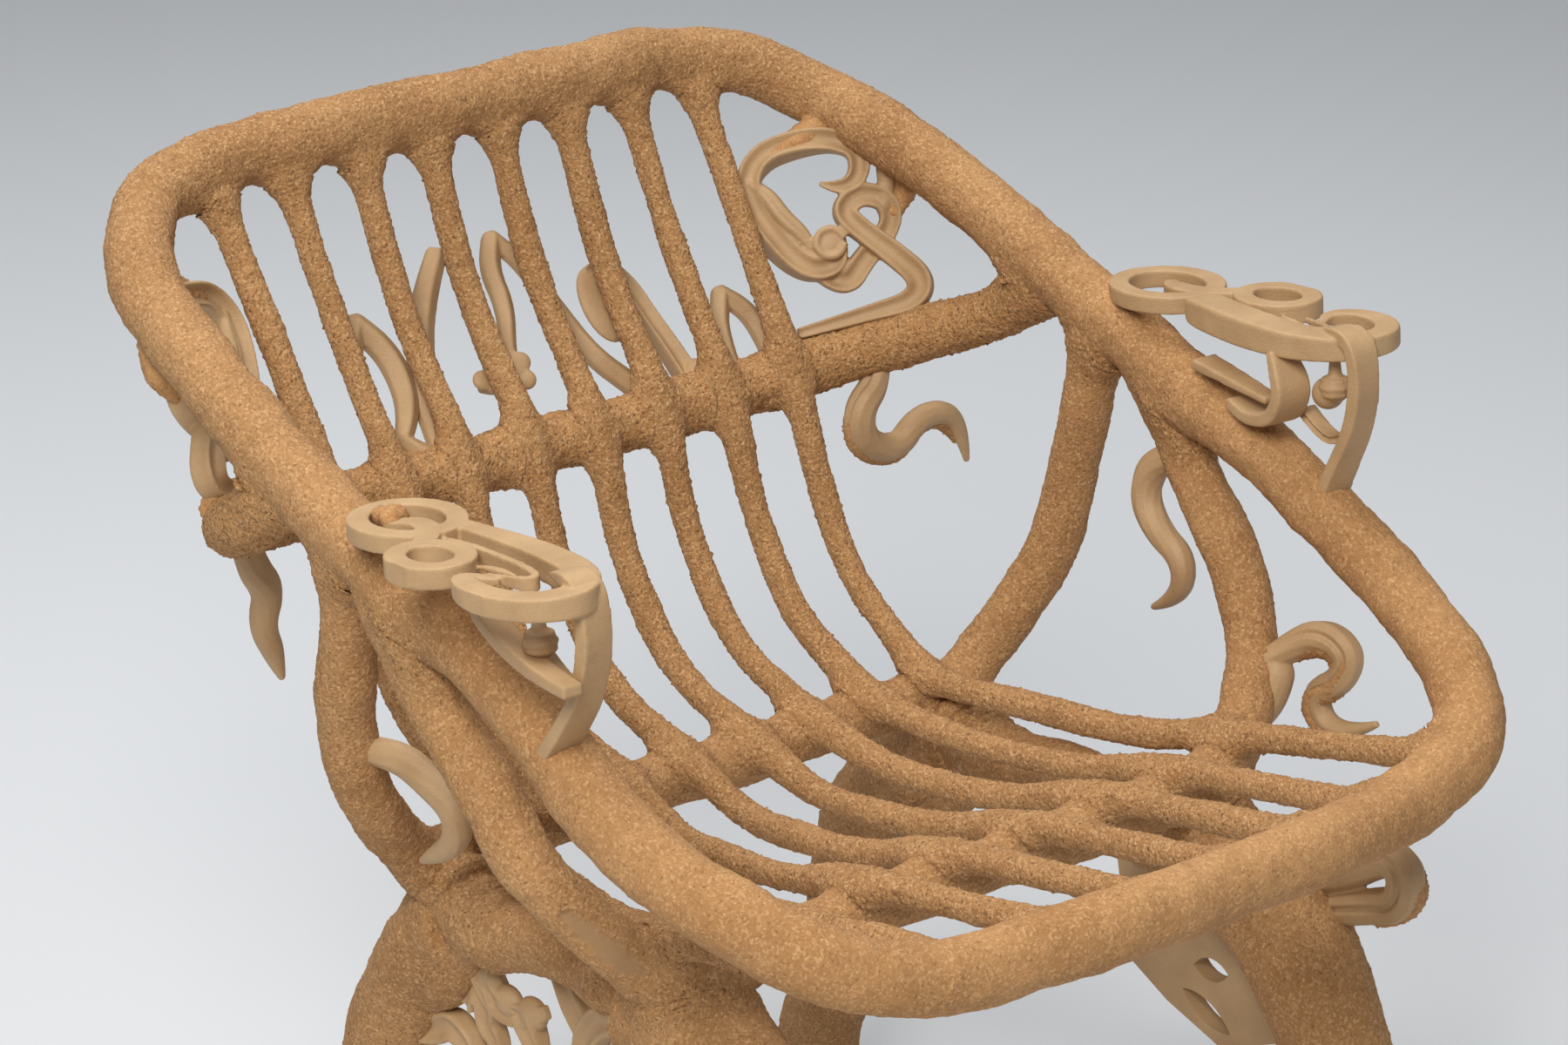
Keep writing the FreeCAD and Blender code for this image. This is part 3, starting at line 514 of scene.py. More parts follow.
edges = np.empty(len(skin.data.edges) * 2, np.int32)
skin.data.edges.foreach_get("vertices", edges)
owner = vote(owners[0], edges.reshape(-1, 2).astype(int))
print("points per member:", np.bincount(owner).tolist())

# %% [markdown]
# The paste isn't equally coarse everywhere: the rim is fairly even towards the front, while the
# slats and the lumbar rail are rough. Each member could have a material of its own, but one
# number per point serves both the shape and the colour. In one place wet clay is smeared over
# the front hoop, so that the roughness goes to nothing there.

# %% Roughness and smear
ROUGHNESS = {"rim": 0.45, "front": 0.50, "rear": 0.60, "arch": 0.60, "slat": 1.00,
             "lumbar": 1.30}
RIM_BACK_EXTRA, FILLET_ROUGHNESS = 0.25, 1.6
SMEAR_FROM, SMEAR_TO, SMEAR_TOP = -0.276, -0.236, 0.50
SMEAR_SHIFT, SMEAR_WIDTH = np.array((-0.012, -0.014, 0.004)), 0.0095
SMEAR_BLUNT, SMEAR_WOBBLE, SMEAR_EDGE = 0.4, 0.0015, 0.004
skin_points = read(skin.data)
rough = np.array([ROUGHNESS[name.split("_")[0]] for name in names])[owner]
is_rim = np.array([name == "rim" for name in names])[owner]
rough += is_rim * RIM_BACK_EXTRA * np.clip(skin_points[:, 1] / HALF_DEPTH, -1, 1)
rough = np.maximum(rough, np.clip(near * FILLET_ROUGHNESS, 0, 1))
smear = np.zeros(len(skin_points))
smeared_part = [list(p) for p in front_line if SMEAR_FROM < p.x < SMEAR_TO and p.z < SMEAR_TOP]
for number, middle in enumerate(np.array(smeared_part) + SMEAR_SHIFT):
    taper = math.sin(math.pi * (number + 1) / (len(smeared_part) + 1)) ** SMEAR_BLUNT
    reach = SMEAR_WIDTH * taper
    reach += rng.uniform(-SMEAR_WOBBLE, SMEAR_WOBBLE)
    gap = np.linalg.norm(skin_points - middle, axis=1)
    smear = np.maximum(smear, np.clip((reach - gap) / SMEAR_EDGE, 0, 1))
rough *= 1 - smear
print("smeared points:", int((smear > 0).sum()))

# %% [markdown]
# Two cloud textures move the surface: wide lumps from the packing hand, and small dents. Every
# point then gets a small random shift, and a few get a large one, as single crumbs that stick
# out. This could be bump alone, but crumbs are seen along the outline, where bump does nothing.
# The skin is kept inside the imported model's box.

# %% Lumps and crumbs
LUMPS = (("lumps", 0.050, 0.0055, 0.53), ("dents", 0.012, 0.0017, 0.52))
SLAT_LUMP_SHARE = 0.45
GRAIN_HEIGHT, CRUMB_HEIGHT, CRUMB_SELDOM, MARGIN = 0.00036, 0.0010, 0.985, 0.0002
thick = skin.vertex_groups.new(name="thick")
is_slat = np.array([name.startswith("slat") for name in names])[owner]
thick.add(np.nonzero(is_slat)[0].tolist(), SLAT_LUMP_SHARE, "REPLACE")
thick.add(np.nonzero(~is_slat)[0].tolist(), 1.0, "REPLACE")
for label, scale, height, middle in LUMPS:
    texture = bpy.data.textures.new(label, "CLOUDS")
    texture.noise_scale, texture.noise_depth = scale, 1
    apply_modifier(skin, "DISPLACE", texture=texture, texture_coords="LOCAL",
                   strength=height, mid_level=middle, vertex_group="thick")
points = read(skin.data)
shift = rng.normal(0, GRAIN_HEIGHT, len(points))
shift += CRUMB_HEIGHT * (rng.random(len(points)) > CRUMB_SELDOM)
points += read(skin.data, "normal") * (shift * rough)[:, None]
box_low, box_high = np.array(cad_low) + MARGIN, np.array(cad_high) - MARGIN
points = np.clip(points, box_low, box_high)
points[:, 2] = np.maximum(points[:, 2], 0)
write(skin.data, points)
print("skin box:", points.min(0).round(3), points.max(0).round(3))

# %% [markdown]
# The skin is cut along the borders into one piece per member, so that each piece can stand in
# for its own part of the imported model. Separating by selection would leave open ends, so each
# cut is closed with a fan of faces around its middle. The pieces keep the whole skin's normals,
# and no seam shows.


# %% One piece per member
def close_cuts(mesh):
    """Close each open edge loop with a fan that points the same way as its neighbours."""
    bm = bmesh.new()
    bm.from_mesh(mesh)
    open_edges = {e.index: e for e in bm.edges if e.is_boundary}
    cuts = []
    while open_edges:
        cut, found = [], [open_edges.popitem()[1]]
        while found:
            cut.append(found.pop())
            touching = [e.index for v in cut[-1].verts for e in v.link_edges]
            found += [open_edges.pop(i) for i in touching if i in open_edges]
        cuts.append(cut)
    for cut in cuts:
        corners = [edge.link_loops[0] for edge in cut]
        middle = sum((c.vert.co for c in corners), Vector()) / len(corners)
        centre = bm.verts.new(middle)
        for corner in corners:
            bm.faces.new((corner.link_loop_next.vert, corner.vert, centre))
    bm.to_mesh(mesh)
    bm.free()


def member_piece(name, faces, normals):
    """The faces of one member as a closed mesh, with its roughness and smear at each point."""
    used, compact = np.unique(faces, return_inverse=True)
    data = bpy.data.meshes.new(name + "_paste")
    data.from_pydata(points[used].tolist(), [], compact.reshape(-1, 4).tolist())
    close_cuts(data)
    data.shade_smooth()
    for label, source in (("smear", smear), ("rough", rough)):
        values = np.zeros(len(data.vertices), np.float32)
        values[:len(used)] = source[used]
        data.attributes.new(label, "FLOAT", "POINT").data.foreach_set("value", values)
    extra = np.zeros((len(data.vertices) - len(used), 3))
    data.normals_split_custom_set_from_vertices(np.vstack((normals[used], extra)).tolist())
    return new_object(name + "_paste", data)


corners = np.empty(len(skin.data.loops), np.int32)
skin.data.loops.foreach_get("vertex_index", corners)
quads = corners.reshape(-1, 4)
face_owner = np.sort(owner[quads], axis=1)[:, 1]
normals = read(skin.data, "normal")
pastes = {name: member_piece(name, quads[face_owner == index], normals)
          for index, name in enumerate(names)}
bpy.data.objects.remove(skin)
print("largest piece:", max(len(p.data.polygons) for p in pastes.values()), "faces")

# %% [markdown]
# A material is a graph of nodes, and a graph built line by line is hard to read. So one small
# class adds any node, and another wraps a node's output so that sums on it read as plain
# arithmetic: each + or * adds its own Math node, and 1 - mask works too.


# %% Shader arithmetic
class Value:
    """A node's output that can be added, multiplied and stretched."""

    def __init__(self, shader, output):
        self.shader, self.output = shader, output

    def math(self, kind, other):
        return self.shader.node("ShaderNodeMath", {"operation": kind}, {0: self, 1: other})

    def __add__(self, other):
        return self.math("ADD", other)

    def __mul__(self, other):
        return self.math("MULTIPLY", other)

    __radd__, __rmul__ = __add__, __mul__

    def __rsub__(self, other):
        return self * -1.0 + other

    def ramp(self, low, high):
        """0 where the value is low, 1 where it is high."""
        return self.shader.node("ShaderNodeMapRange", {},
                                {"Value": self, "From Min": low, "From Max": high})


class Shader:
    """One material with its Principled shader and Object coordinates."""

    def __init__(self, name, roughness):
        self.material = bpy.data.materials.new(name)
        self.material.use_nodes = True
        self.tree = self.material.node_tree
        self.surface = self.tree.nodes["Principled BSDF"]
        self.feed(self.surface.inputs["Roughness"], roughness)
        self.place = self.node("ShaderNodeTexCoord", {}, {}, "Object")

    def feed(self, socket, value):
        if isinstance(value, Value):
            self.tree.links.new(value.output, socket)
        else:
            socket.default_value = value

    def node(self, kind, settings, sockets, output=0):
        """Add a node, set its settings first and then its sockets, and give one output."""
        node = self.tree.nodes.new(kind)
        for key, value in settings.items():
            setattr(node, key, value)
        for key, value in sockets.items():
            self.feed(node.inputs[key], value)
        return Value(self, node.outputs[output])

    def noise(self, scale, detail=3.0, stretch=None):
        place = self.place
        if stretch:
            place = self.node("ShaderNodeMapping", {}, {"Vector": place, "Scale": stretch})
        return self.node("ShaderNodeTexNoise", {},
                         {"Vector": place, "Scale": scale, "Detail": detail}, "Fac")

    def chips(self, scale):
        """Cells of a random shade each, for crumbs."""
        return self.node("ShaderNodeTexVoronoi", {"feature": "F1"},
                         {"Vector": self.place, "Scale": scale}, "Color")

    def marked(self, name):
        """A number that is kept at each point of the mesh."""
        return self.node("ShaderNodeAttribute", {"attribute_name": name}, {}, "Fac")

    def mix(self, share, low, high):
        low, high = (c if isinstance(c, Value) else (*c, 1) for c in (low, high))
        return self.node("ShaderNodeMix", {"data_type": "RGBA"}, {0: share, 6: low, 7: high}, 2)

    def finish(self, colour, height, distance, strength=1.0):
        self.feed(self.surface.inputs["Base Color"], colour)
        bump = self.node("ShaderNodeBump", {}, {"Height": height, "Distance": distance,
                                                "Strength": strength})
        self.feed(self.surface.inputs["Normal"], bump)
        return self.material


print("node outputs can be used as numbers")

# %% [markdown]
# Cork paste is like damp sawdust: warm brown, with pale and dark crumbs a few millimetres wide,
# and matt all over. A photograph of cork would have to be wrapped round every bar. Cells and
# noise on Object coordinates need no wrapping and run on from piece to piece. The rougher the
# paste, the more broken it is. The roughest members, the slats and the lumbar rail, also get a
# brighter orange coat, which is painted light for their sunlit look.

# %% Cork paste
cork = Shader("cork_paste", 0.93)
coarse, smeared = cork.marked("rough"), cork.marked("smear")
chip, large_chip = cork.chips(640), cork.chips(340)
dust, patch, stain, pores = (cork.noise(scale, detail)
                             for scale, detail in ((1500, 2), (14, 4), (60, 3), (430, 4)))
grain = coarse * 0.55 + 0.45
cork_coats = (
    # Painted light: a brighter orange coat on the roughest paste, the slats and the lumbar rail,
    # for their sunlit look.
    (coarse.ramp(0.85, 1.35) * 0.45, (0.78, 0.385, 0.130)),
    (stain.ramp(0.45, 0.30) * 0.35, (0.31, 0.148, 0.048)),
    (chip.ramp(0.55, 0.90) * 0.70 * grain, (0.76, 0.465, 0.222)),
    (large_chip.ramp(0.70, 0.95) * 0.25 * grain, (0.67, 0.395, 0.175)),
    (chip.ramp(0.34, 0.10) * 0.50 * grain, (0.26, 0.118, 0.038)),
    (pores.ramp(0.41, 0.30) * 0.85 * grain, (0.15, 0.064, 0.020)),
    (smeared * 0.85, (0.33, 0.195, 0.092)),
)
colour = cork.mix(patch.ramp(0.35, 0.68), (0.392, 0.191, 0.066), (0.490, 0.256, 0.098))
for share, coat in cork_coats:
    colour = cork.mix(share, colour, coat)
relief = chip * 0.75 + dust * 0.25 + pores * 1.1 + large_chip * coarse * 0.9
depth = (coarse * 0.90 + 0.06) * (1 - smeared * 0.9)
cork_material = cork.finish(colour, relief * depth, 0.0028)
print("coats of colour on the cork:", len(cork_coats) + 1)

# %% [markdown]
# The clay is unglazed: a paler, quieter brown, smooth from wet fingers, with a few dark and pale
# specks and faint tool marks. Its shine varies a little, so its roughness follows the same slow
# noise as its tone. The steel inside is never seen, but has a plain metal of its own for whoever
# takes the model apart.

# %% Clay and steel
clay = Shader("clay", 0.62)
tone = clay.noise(26)
colour = clay.mix(tone.ramp(0.35, 0.7), (0.41, 0.248, 0.115), (0.495, 0.318, 0.158))
colour = clay.mix(clay.noise(1000, 2).ramp(0.60, 0.72) * 0.35, colour, (0.24, 0.125, 0.055))
colour = clay.mix(clay.noise(700, 2).ramp(0.62, 0.72) * 0.25, colour, (0.60, 0.42, 0.25))
tool_marks = clay.noise(70) * 0.9 + clay.noise(260, 2, stretch=(1, 1, 3)) * 0.35
tool_marks = tool_marks + clay.noise(900, 2) * 0.12
clay.feed(clay.surface.inputs["Roughness"], tone.ramp(0.3, 0.7) * 0.16 + 0.54)
clay_material = clay.finish(colour, tool_marks, 0.0013, 0.6)

steel = Shader("armature_steel", 0.45)
steel.feed(steel.surface.inputs["Metallic"], 1.0)
colour = steel.mix(steel.noise(60, 4).ramp(0.4, 0.7), (0.30, 0.30, 0.31), (0.42, 0.41, 0.40))
steel_material = steel.finish(colour, steel.noise(500, 2), 0.0003, 0.4)
print("materials:", [m.name for m in bpy.data.materials])

# %% [markdown]
# Every piece of paste rides on the chair's one body and takes the place of its plain part. The
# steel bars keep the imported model's own shape and only get their material.

# %% Dress the paste and the steel
STEEL = ("rim_core", "lumbar_core", "rear_hoop_core", "front_hoop_core", "slat_rods",
         "leg_core_left", "leg_core_right", "leg_ties")


def dress(piece, material):
    piece.data.materials.clear()
    piece.data.materials.append(material)


for name, piece in pastes.items():
    dress(piece, cork_material)
    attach(piece, "root")
    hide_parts(name)
for name in STEEL:
    dress(frame["nodes"][name], steel_material)
print("paste pieces:", len(pastes), "steel pieces:", len(STEEL))

# %% [markdown]
# A scroll is drawn flat before it is bent or stuck on. A frame is a flat board in space: shares
# on it are easy to read off and to mirror, while the board itself is tied to the bars. So an
# ornament stays on its bar when the chair's sizes change.


# %% Flat frame
class Frame:
    """A board with its own two directions and a third one out of it, all in shares of a span."""

    def __init__(self, origin, along, upward, scale):
        self.origin, self.scale = origin, scale
        self.u = along.normalized()
        self.w = self.u.cross(upward).normalized()
        self.v = self.w.cross(self.u).normalized()

    def at(self, u, v, w=0):
        return self.origin + (self.u * u + self.v * v + self.w * w) * self.scale

    def matrix(self):
        m = Matrix((self.u, self.v, self.w)).transposed().to_4x4()
        m.translation = self.origin
        return m

    def forward_side(self):
        """1 where the board's third direction comes towards the front of the chair, else -1."""
        return -1 if self.w.y > 0 else 1


board = Frame(Vector((0, 0, 0)), Vector((1, 0, 0)), Vector((0, 0, 1)), 0.1)
print("a share of one is", board.at(1, 0).length, "m on this board")

# %% [markdown]
# The straps are cut, planed, hollowed with a thumb or rolled up, and each way leaves its own
# section. A curve with such a section as its bevel follows the drawn line, and its radius and
# tilt at each point make the strap swell, taper and twist. Extruding a mesh step by step could
# do the same, but a curve keeps every bend smooth.

# %% Straps
FLAT = ((-1, -0.9), (-0.9, -1), (0.9, -1), (1, -0.9), (1, 0.80), (0.90, 1), (-0.90, 1),
        (-1, 0.80))
PLANED = ((-1, -1), (1, -1), (1, 0.30), (0.45, 1), (-0.9, 1), (-1, 0.9))
HOLLOW = ((-1, -0.7), (-0.8, -1), (0.8, -1), (1, -0.7), (1, 0.72), (0.92, 0.96), (0.76, 1),
          (0.60, 0.86), (0.34, 0.56), (0, 0.44), (-0.34, 0.56), (-0.60, 0.86), (-0.76, 1),
          (-0.92, 0.96), (-1, 0.72))
RIDGE = ((-1, -0.5), (-0.6, -1), (0.6, -1), (1, -0.5), (1, 0.25), (0.12, 1), (-0.12, 1),
         (-1, 0.25))
ROLLED = ((-1, 0), (-0.80, -0.66), (-0.3, -0.98), (0.3, -0.98), (0.80, -0.66), (1, 0),
          (0.86, 0.60), (0.40, 0.93), (0.12, 0.62), (-0.14, 0.94), (-0.72, 0.74))
CURVE_STEPS = 12


def profile(section, width, thickness):
    """A section's outline at its real width and thickness."""
    data = bpy.data.curves.new("profile", "CURVE")
    data.dimensions = "2D"
    spline = data.splines.new("POLY")
    spline.points.add(len(section) - 1)
    flat = [c for x, y in section for c in (x * width / 2, y * thickness / 2, 0, 1)]
    spline.points.foreach_set("co", flat)
    spline.use_cyclic_u = True
    return new_object("profile", data)


def turned(section, front_up):
    return tuple((x, y * front_up) for x, y in section)


def band(flat, shares, section, width, thickness, closed=False, sizes=(1,), lift=(0,),
         turn=(0,)):
    """A strap along shares of the frame. Sizes, lift and turn are spread evenly over it:
    relative size, height over the plane in metres, and turn of the section in degrees."""
    data = bpy.data.curves.new("band", "CURVE")
    data.dimensions, data.resolution_u, data.twist_mode = "3D", CURVE_STEPS, "Z_UP"
    data.bevel_mode, data.bevel_object = "OBJECT", profile(section, width, thickness)
    data.use_fill_caps = True
    spline = data.splines.new("NURBS")
    spline.points.add(len(shares) - 1)
    at = np.linspace(0, 1, len(shares))

    def spread(values):
        return np.interp(at, np.linspace(0, 1, len(values)), values)

    for point, share, size, height, angle in zip(spline.points, shares, spread(sizes),
                                                 spread(lift), spread(turn)):
        level = (share[2] if len(share) > 2 else 0) * flat.scale + height
        point.co = (share[0] * flat.scale, share[1] * flat.scale, level, 1)
        point.radius, point.tilt = size, math.radians(angle)
    spline.use_cyclic_u = closed
    spline.order_u = 3
    spline.use_endpoint_u = not closed
    piece = new_object("band", data)
    piece.matrix_world = flat.matrix()
    return piece


print("sections:", [len(s) for s in (FLAT, PLANED, HOLLOW, RIDGE, ROLLED)], "points")

# %% [markdown]
# Some clay is rolled between the hands: strands that are thick at one end and thin at the other,
# and balls. A strand is again a curve, this time with its thickness given at every point, and a
# ball is a sphere that may be pressed flat on its board.

# %% Strands and balls
ONCE_ROUND = np.arange(0, 6.3, 0.6)


def tendril(points, radii, turn=0, section=None):
    """A round or rolled strand through the points, with its thickness at each of them."""
    data = bpy.data.curves.new("tendril", "CURVE")
    data.dimensions, data.resolution_u, data.use_fill_caps = "3D", CURVE_STEPS, True
    if section:
        data.bevel_mode, data.bevel_object = "OBJECT", profile(section, 2, 2)
    else:
        data.bevel_depth, data.bevel_resolution = 1.0, 6
    spline = data.splines.new("NURBS")
    spline.points.add(len(points) - 1)
    for number, (point, co, radius) in enumerate(zip(spline.points, points, radii)):
        point.co, point.radius = (*co, 1), radius
        point.tilt = math.radians(turn) * number / (len(points) - 1)
    spline.order_u = 3
    spline.use_endpoint_u = True
    return new_object("tendril", data)


def ball(centre, reach, flat=None):
    """A ball, or a lens when reach has three values that differ, along the frame's own axes."""
    bpy.ops.mesh.primitive_uv_sphere_add(segments=40, ring_count=20)
    piece = bpy.context.object
    turned_to = flat.matrix().to_3x3().to_4x4() if flat else Matrix.Identity(4)
    piece.matrix_world = Matrix.Translation(centre) @ turned_to @ Matrix.Diagonal((*reach, 1))
    return piece


print("points once round:", len(ONCE_ROUND))

# %% [markdown]
# Clay parts are pressed together while wet, and the joint is wiped smooth. A fine remesh melts
# the straps and strands of one ornament into a single closed skin, and a smooth takes off the
# steps that it leaves. Where paste holds an ornament, a coarser skin with crumbs is added in
# cork. Each ornament then takes the place of its plain part.

# %% Melt and model
CLAY_VOXEL, ARM_VOXEL, CRUST_VOXEL = 0.0011, 0.0010, 0.0016
CRUST_SMOOTH, CRUST_CRUMBS, SPECK_FACES = 3, 0.0004, 60


def drop_specks(piece):
    """Delete the loose specks of a few faces that a remesh can leave."""
    only(piece)
    bpy.ops.mesh.separate(type="LOOSE")
    parts = list(bpy.context.selected_objects)
    for speck in [p for p in parts if len(p.data.polygons) < SPECK_FACES]:
        parts.remove(speck)
        bpy.data.objects.remove(speck)
    return to_mesh(*parts)


def melt(parts, voxel, smooth, material, crumbs=0.0):
    """Join the parts, melt them into one closed skin and smooth it."""
    piece = to_mesh(*parts)
    only(piece)
    bpy.ops.object.transform_apply(location=True, rotation=True, scale=True)
    apply_modifier(piece, "REMESH", mode="VOXEL", voxel_size=voxel)
    piece = drop_specks(piece)
    apply_modifier(piece, "SMOOTH", factor=0.5, iterations=smooth)
    if crumbs:
        co, normal = read(piece.data), read(piece.data, "normal")
        write(piece.data, co + normal * rng.normal(0, crumbs, len(co))[:, None])
    bpy.ops.object.shade_smooth()
    dress(piece, material)
    return piece


def model(name, parts, voxel=CLAY_VOXEL, smooth=3, paste=()):
    """One finished ornament: its clay, and the crumbly paste that holds it, if there is any."""
    piece = melt(parts, voxel, smooth, clay_material)
    if paste:
        crust = melt(paste, CRUST_VOXEL, CRUST_SMOOTH, cork_material, CRUST_CRUMBS)
        piece = to_mesh(piece, crust)
    write(piece.data, np.clip(read(piece.data), box_low, box_high))
    piece.name = name + "_clay"
    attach(piece, "root")
    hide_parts(name)
    print(name, len(piece.data.polygons), "faces")


# %% [markdown]
# Each arm carries a flat scroll: two rings, an S, a wide outer band and a thin inner ribbon, cut
# from a slab. A strut folds over its front end and stands on the rim. One scroll could be drawn
# and mirrored, but the two arms of the real chair aren't alike, so some tables have a left and a
# right side.

# %% Arm scroll shares
ARM_PLACE_SHARES = {
    "left": ((1.000, -0.034, 0.862), (1.020, -0.534, 0.887)),
    "right": ((1.056, 0.039, 0.861), (0.985, -0.500, 0.886)),
}
ARM_FOOT_SHARE = -0.408
LARGE_RING_SHARES, SMALL_RING_SHARES = ((0, 0), (0.180, 0.145)), ((0.37, 0.155), (0.125, 0.100))
S_SHARES = ((-0.05, 0.05), (0.02, 0.00), (0.12, 0.00), (0.20, 0.05), (0.26, 0.12))
RIBBON_SHARES = ((0.22, 0.01), (0.34, 0.00), (0.47, 0.00), (0.61, 0.00), (0.72, 0.015),
                 (0.76, 0.045), (0.70, 0.08), (0.58, 0.10))
BAND_SHARES = {
    "left": ((0.12, -0.09), (0.38, -0.10), (0.62, -0.10), (0.84, -0.075), (0.98, 0.02),
             (0.96, 0.15), (0.83, 0.23), (0.67, 0.23), (0.56, 0.17), (0.66, 0.10)),
    "right": ((0.205, -0.05), (0.225, -0.05), (0.40, -0.075), (0.60, -0.09), (0.80, -0.075),
              (0.93, 0.02), (0.92, 0.15), (0.81, 0.23), (0.67, 0.23), (0.60, 0.15),
              (0.67, 0.09)),
}
BAND_SIZES = {"left": (0.8, 1.1, 1.28, 1.3, 1.25, 1.15, 1.1, 1.0, 0.8, 0.3),
              "right": (0.9, 1.5, 1.6, 1.6, 1.4, 1.2, 1.1, 1.0, 0.85, 0.65, 0.22)}
LEAF_SHARES = ((0.50, 0.07), (0.57, 0.05), (0.66, 0.045))
STRUT_SHARES = ((0.80, 0.030), (0.88, 0.045), (0.955, 0.025), (0.975, -0.05), (0.97, -0.15),
                (0.94, -0.26), (0.86, -0.395))
LINK_SHARES = ((0.70, -0.24), (0.78, -0.295), (0.86, -0.31), (0.94, -0.26))
SLAB_WIDTH, SLAB_THICKNESS, RING_WIDTH_SHARE = 0.0155, 0.012, 0.88
RIBBON_SIZE, STRUT_SIZE, LINK_SIZE = (0.0050, 0.0095), (0.0115, 0.021), (0.0065, 0.013)
RING_SWELL, RING_POINTS = 1.06, 8
BRACKET_SHIFT_SHARES = {"left": 0.09, "right": -0.10}
print("band points:", {side: len(shares) for side, shares in BAND_SHARES.items()})

# %% [markdown]
# The tables become straps on two boards. The scroll lies on a flat board along the arm, and the
# strut and its link stand on an upright board at the same place. The foot of the strut isn't
# drawn but looked up, so that it always stands on the rim.


# %% Arm scroll straps
def ring(flat, shares, thickness):
    """A closed strap. A smooth curve runs inside its corners, so that they lie further out."""
    middle, reach = shares
    turns = [2 * math.pi * i / RING_POINTS for i in range(RING_POINTS)]
    outline = [(middle[0] + reach[0] * RING_SWELL * math.cos(a),
                middle[1] + reach[1] * RING_SWELL * math.sin(a)) for a in turns]
    return band(flat, outline, FLAT, SLAB_WIDTH * RING_WIDTH_SHARE, thickness, closed=True)


def arm_boards(side):
    """The lying board of an arm scroll, the standing one below it, and the bracket's own."""
    rear_end, front_end = [place(SIDES[side] * x, y, z) for x, y, z in ARM_PLACE_SHARES[side]]
    forward, upward = front_end - rear_end, Vector((0, 0, 1))
    flat = Frame(rear_end, forward, Vector((SIDES[side], 0, 0)), forward.length)
    upright = Frame(rear_end, forward, upward, forward.length)
    shift = flat.v * (BRACKET_SHIFT_SHARES[side] * flat.scale)
    return flat, upright, Frame(rear_end + shift, forward, upward, forward.length)


def arm_straps(side):
    flat, upright = arm_boards(side)[:2]
    foot = crossing(rim_line, 1, ARM_FOOT_SHARE * HALF_DEPTH, lambda p: p.x * SIDES[side] > 0)
    foot = upright.matrix().inverted() @ foot / upright.scale
    wide, thick = SLAB_WIDTH, SLAB_THICKNESS
    return [
        ring(flat, LARGE_RING_SHARES, thick),
        ring(flat, SMALL_RING_SHARES, thick * 1.1),
        band(flat, S_SHARES, FLAT, wide, thick * 1.05, sizes=(0.5, 0.95, 1.0, 1.0, 0.9)),
        band(flat, RIBBON_SHARES, FLAT, *RIBBON_SIZE, sizes=(0.7, 1, 1, 1, 1, 1, 0.8, 0.4)),
        band(flat, LEAF_SHARES, RIDGE, wide * 0.55, thick * 0.6, sizes=(0.3, 1, 0.3)),
        band(flat, BAND_SHARES[side], FLAT, wide, thick, sizes=BAND_SIZES[side]),
        band(upright, STRUT_SHARES + ((foot.x, foot.y),), PLANED, *STRUT_SIZE,
             sizes=(0.35, 0.9, 1.0, 1.0, 1.05, 1.0, 0.98, 1.1), turn=(0, 0, 0, -14, -8, 6, 0)),
        band(upright, LINK_SHARES, HOLLOW, *LINK_SIZE, sizes=(1, 0.9)),
    ]


print("arm spans:", {side: round(arm_boards(side)[0].scale, 3) for side in SIDES})

# %% [markdown]
# Below each scroll hangs a ball with a ridged cap, like an acorn, and a leaf-like bracket curls
# down beside the strut. Three thin strands round the cap make its ridges, which a bump would
# only pretend.

# %% Acorns, brackets and the finished arms
ACORN_SHARES = {"left": ((0.73, -0.225), (0.77, -0.175)),
                "right": ((0.81, -0.165), (0.845, -0.14))}
ACORN_OUT_SHARES = {"left": 0.05, "right": 0.0}
ACORN_REACH, CAP_REACH = (0.0105, 0.0105, 0.0105), (0.0100, 0.0100, 0.0095)
STALK = ((0.0, 0.006), (0.012, 0.0035), (0.026, 0.0035))
RIDGE_LEVELS, RIDGE_REACH, RIDGE_RADIUS = (-0.4, 0.1, 0.6), 0.0101, 0.0012
ARM_LUMP_SHARES = {
    "left": ((-0.075, 0.0, -0.01, 0.0085), (-0.045, 0.035, -0.02, 0.0065),
             (-0.10, 0.03, -0.02, 0.0060)),
    "right": (),
}
BRACKET_SHARES = {
    "left": ((0.46, -0.05), (0.54, -0.13), (0.68, -0.20), (0.84, -0.25), (0.99, -0.262)),
    "right": ((0.70, -0.03), (0.735, -0.09), (0.76, -0.16), (0.71, -0.245), (0.60, -0.265),
              (0.54, -0.255), (0.49, -0.235)),
}
BRACKET_WIDTH, BRACKET_THICKNESS = 0.0085, {"left": 0.0150, "right": 0.0235}
TONGUE_SHARES, TONGUE_SIZE = ((0.31, -0.15), (0.46, -0.17), (0.66, -0.20)), (0.0065, 0.018)


def acorn(side):
    upright = arm_boards(side)[1]
    seed, cap = [upright.at(*share, ACORN_OUT_SHARES[side]) for share in ACORN_SHARES[side]]
    parts = [ball(seed, ACORN_REACH), ball(cap, CAP_REACH),
             tendril([cap + upright.v * height for height, radius in STALK],
                     [radius for height, radius in STALK])]
    for level in RIDGE_LEVELS:
        reach = RIDGE_REACH * math.sqrt(1 - level * level)
        ridge = [cap + upright.u * (reach * math.cos(a)) + upright.w * (reach * math.sin(a))
                 + upright.v * (CAP_REACH[2] * level) for a in ONCE_ROUND]
        parts.append(tendril(ridge, np.full(len(ridge), RIDGE_RADIUS)))
    return parts


def bracket(side):
    shifted = arm_boards(side)[2]
    parts = [band(shifted, BRACKET_SHARES[side], FLAT, BRACKET_WIDTH, BRACKET_THICKNESS[side],
                  sizes=(0.8, 1.1, 1.15, 1.1, 1.0, 0.9))]
    if side == "right":
        parts.append(band(shifted, TONGUE_SHARES, FLAT, *TONGUE_SIZE, sizes=(1.1, 1.0, 0.7)))
    return parts


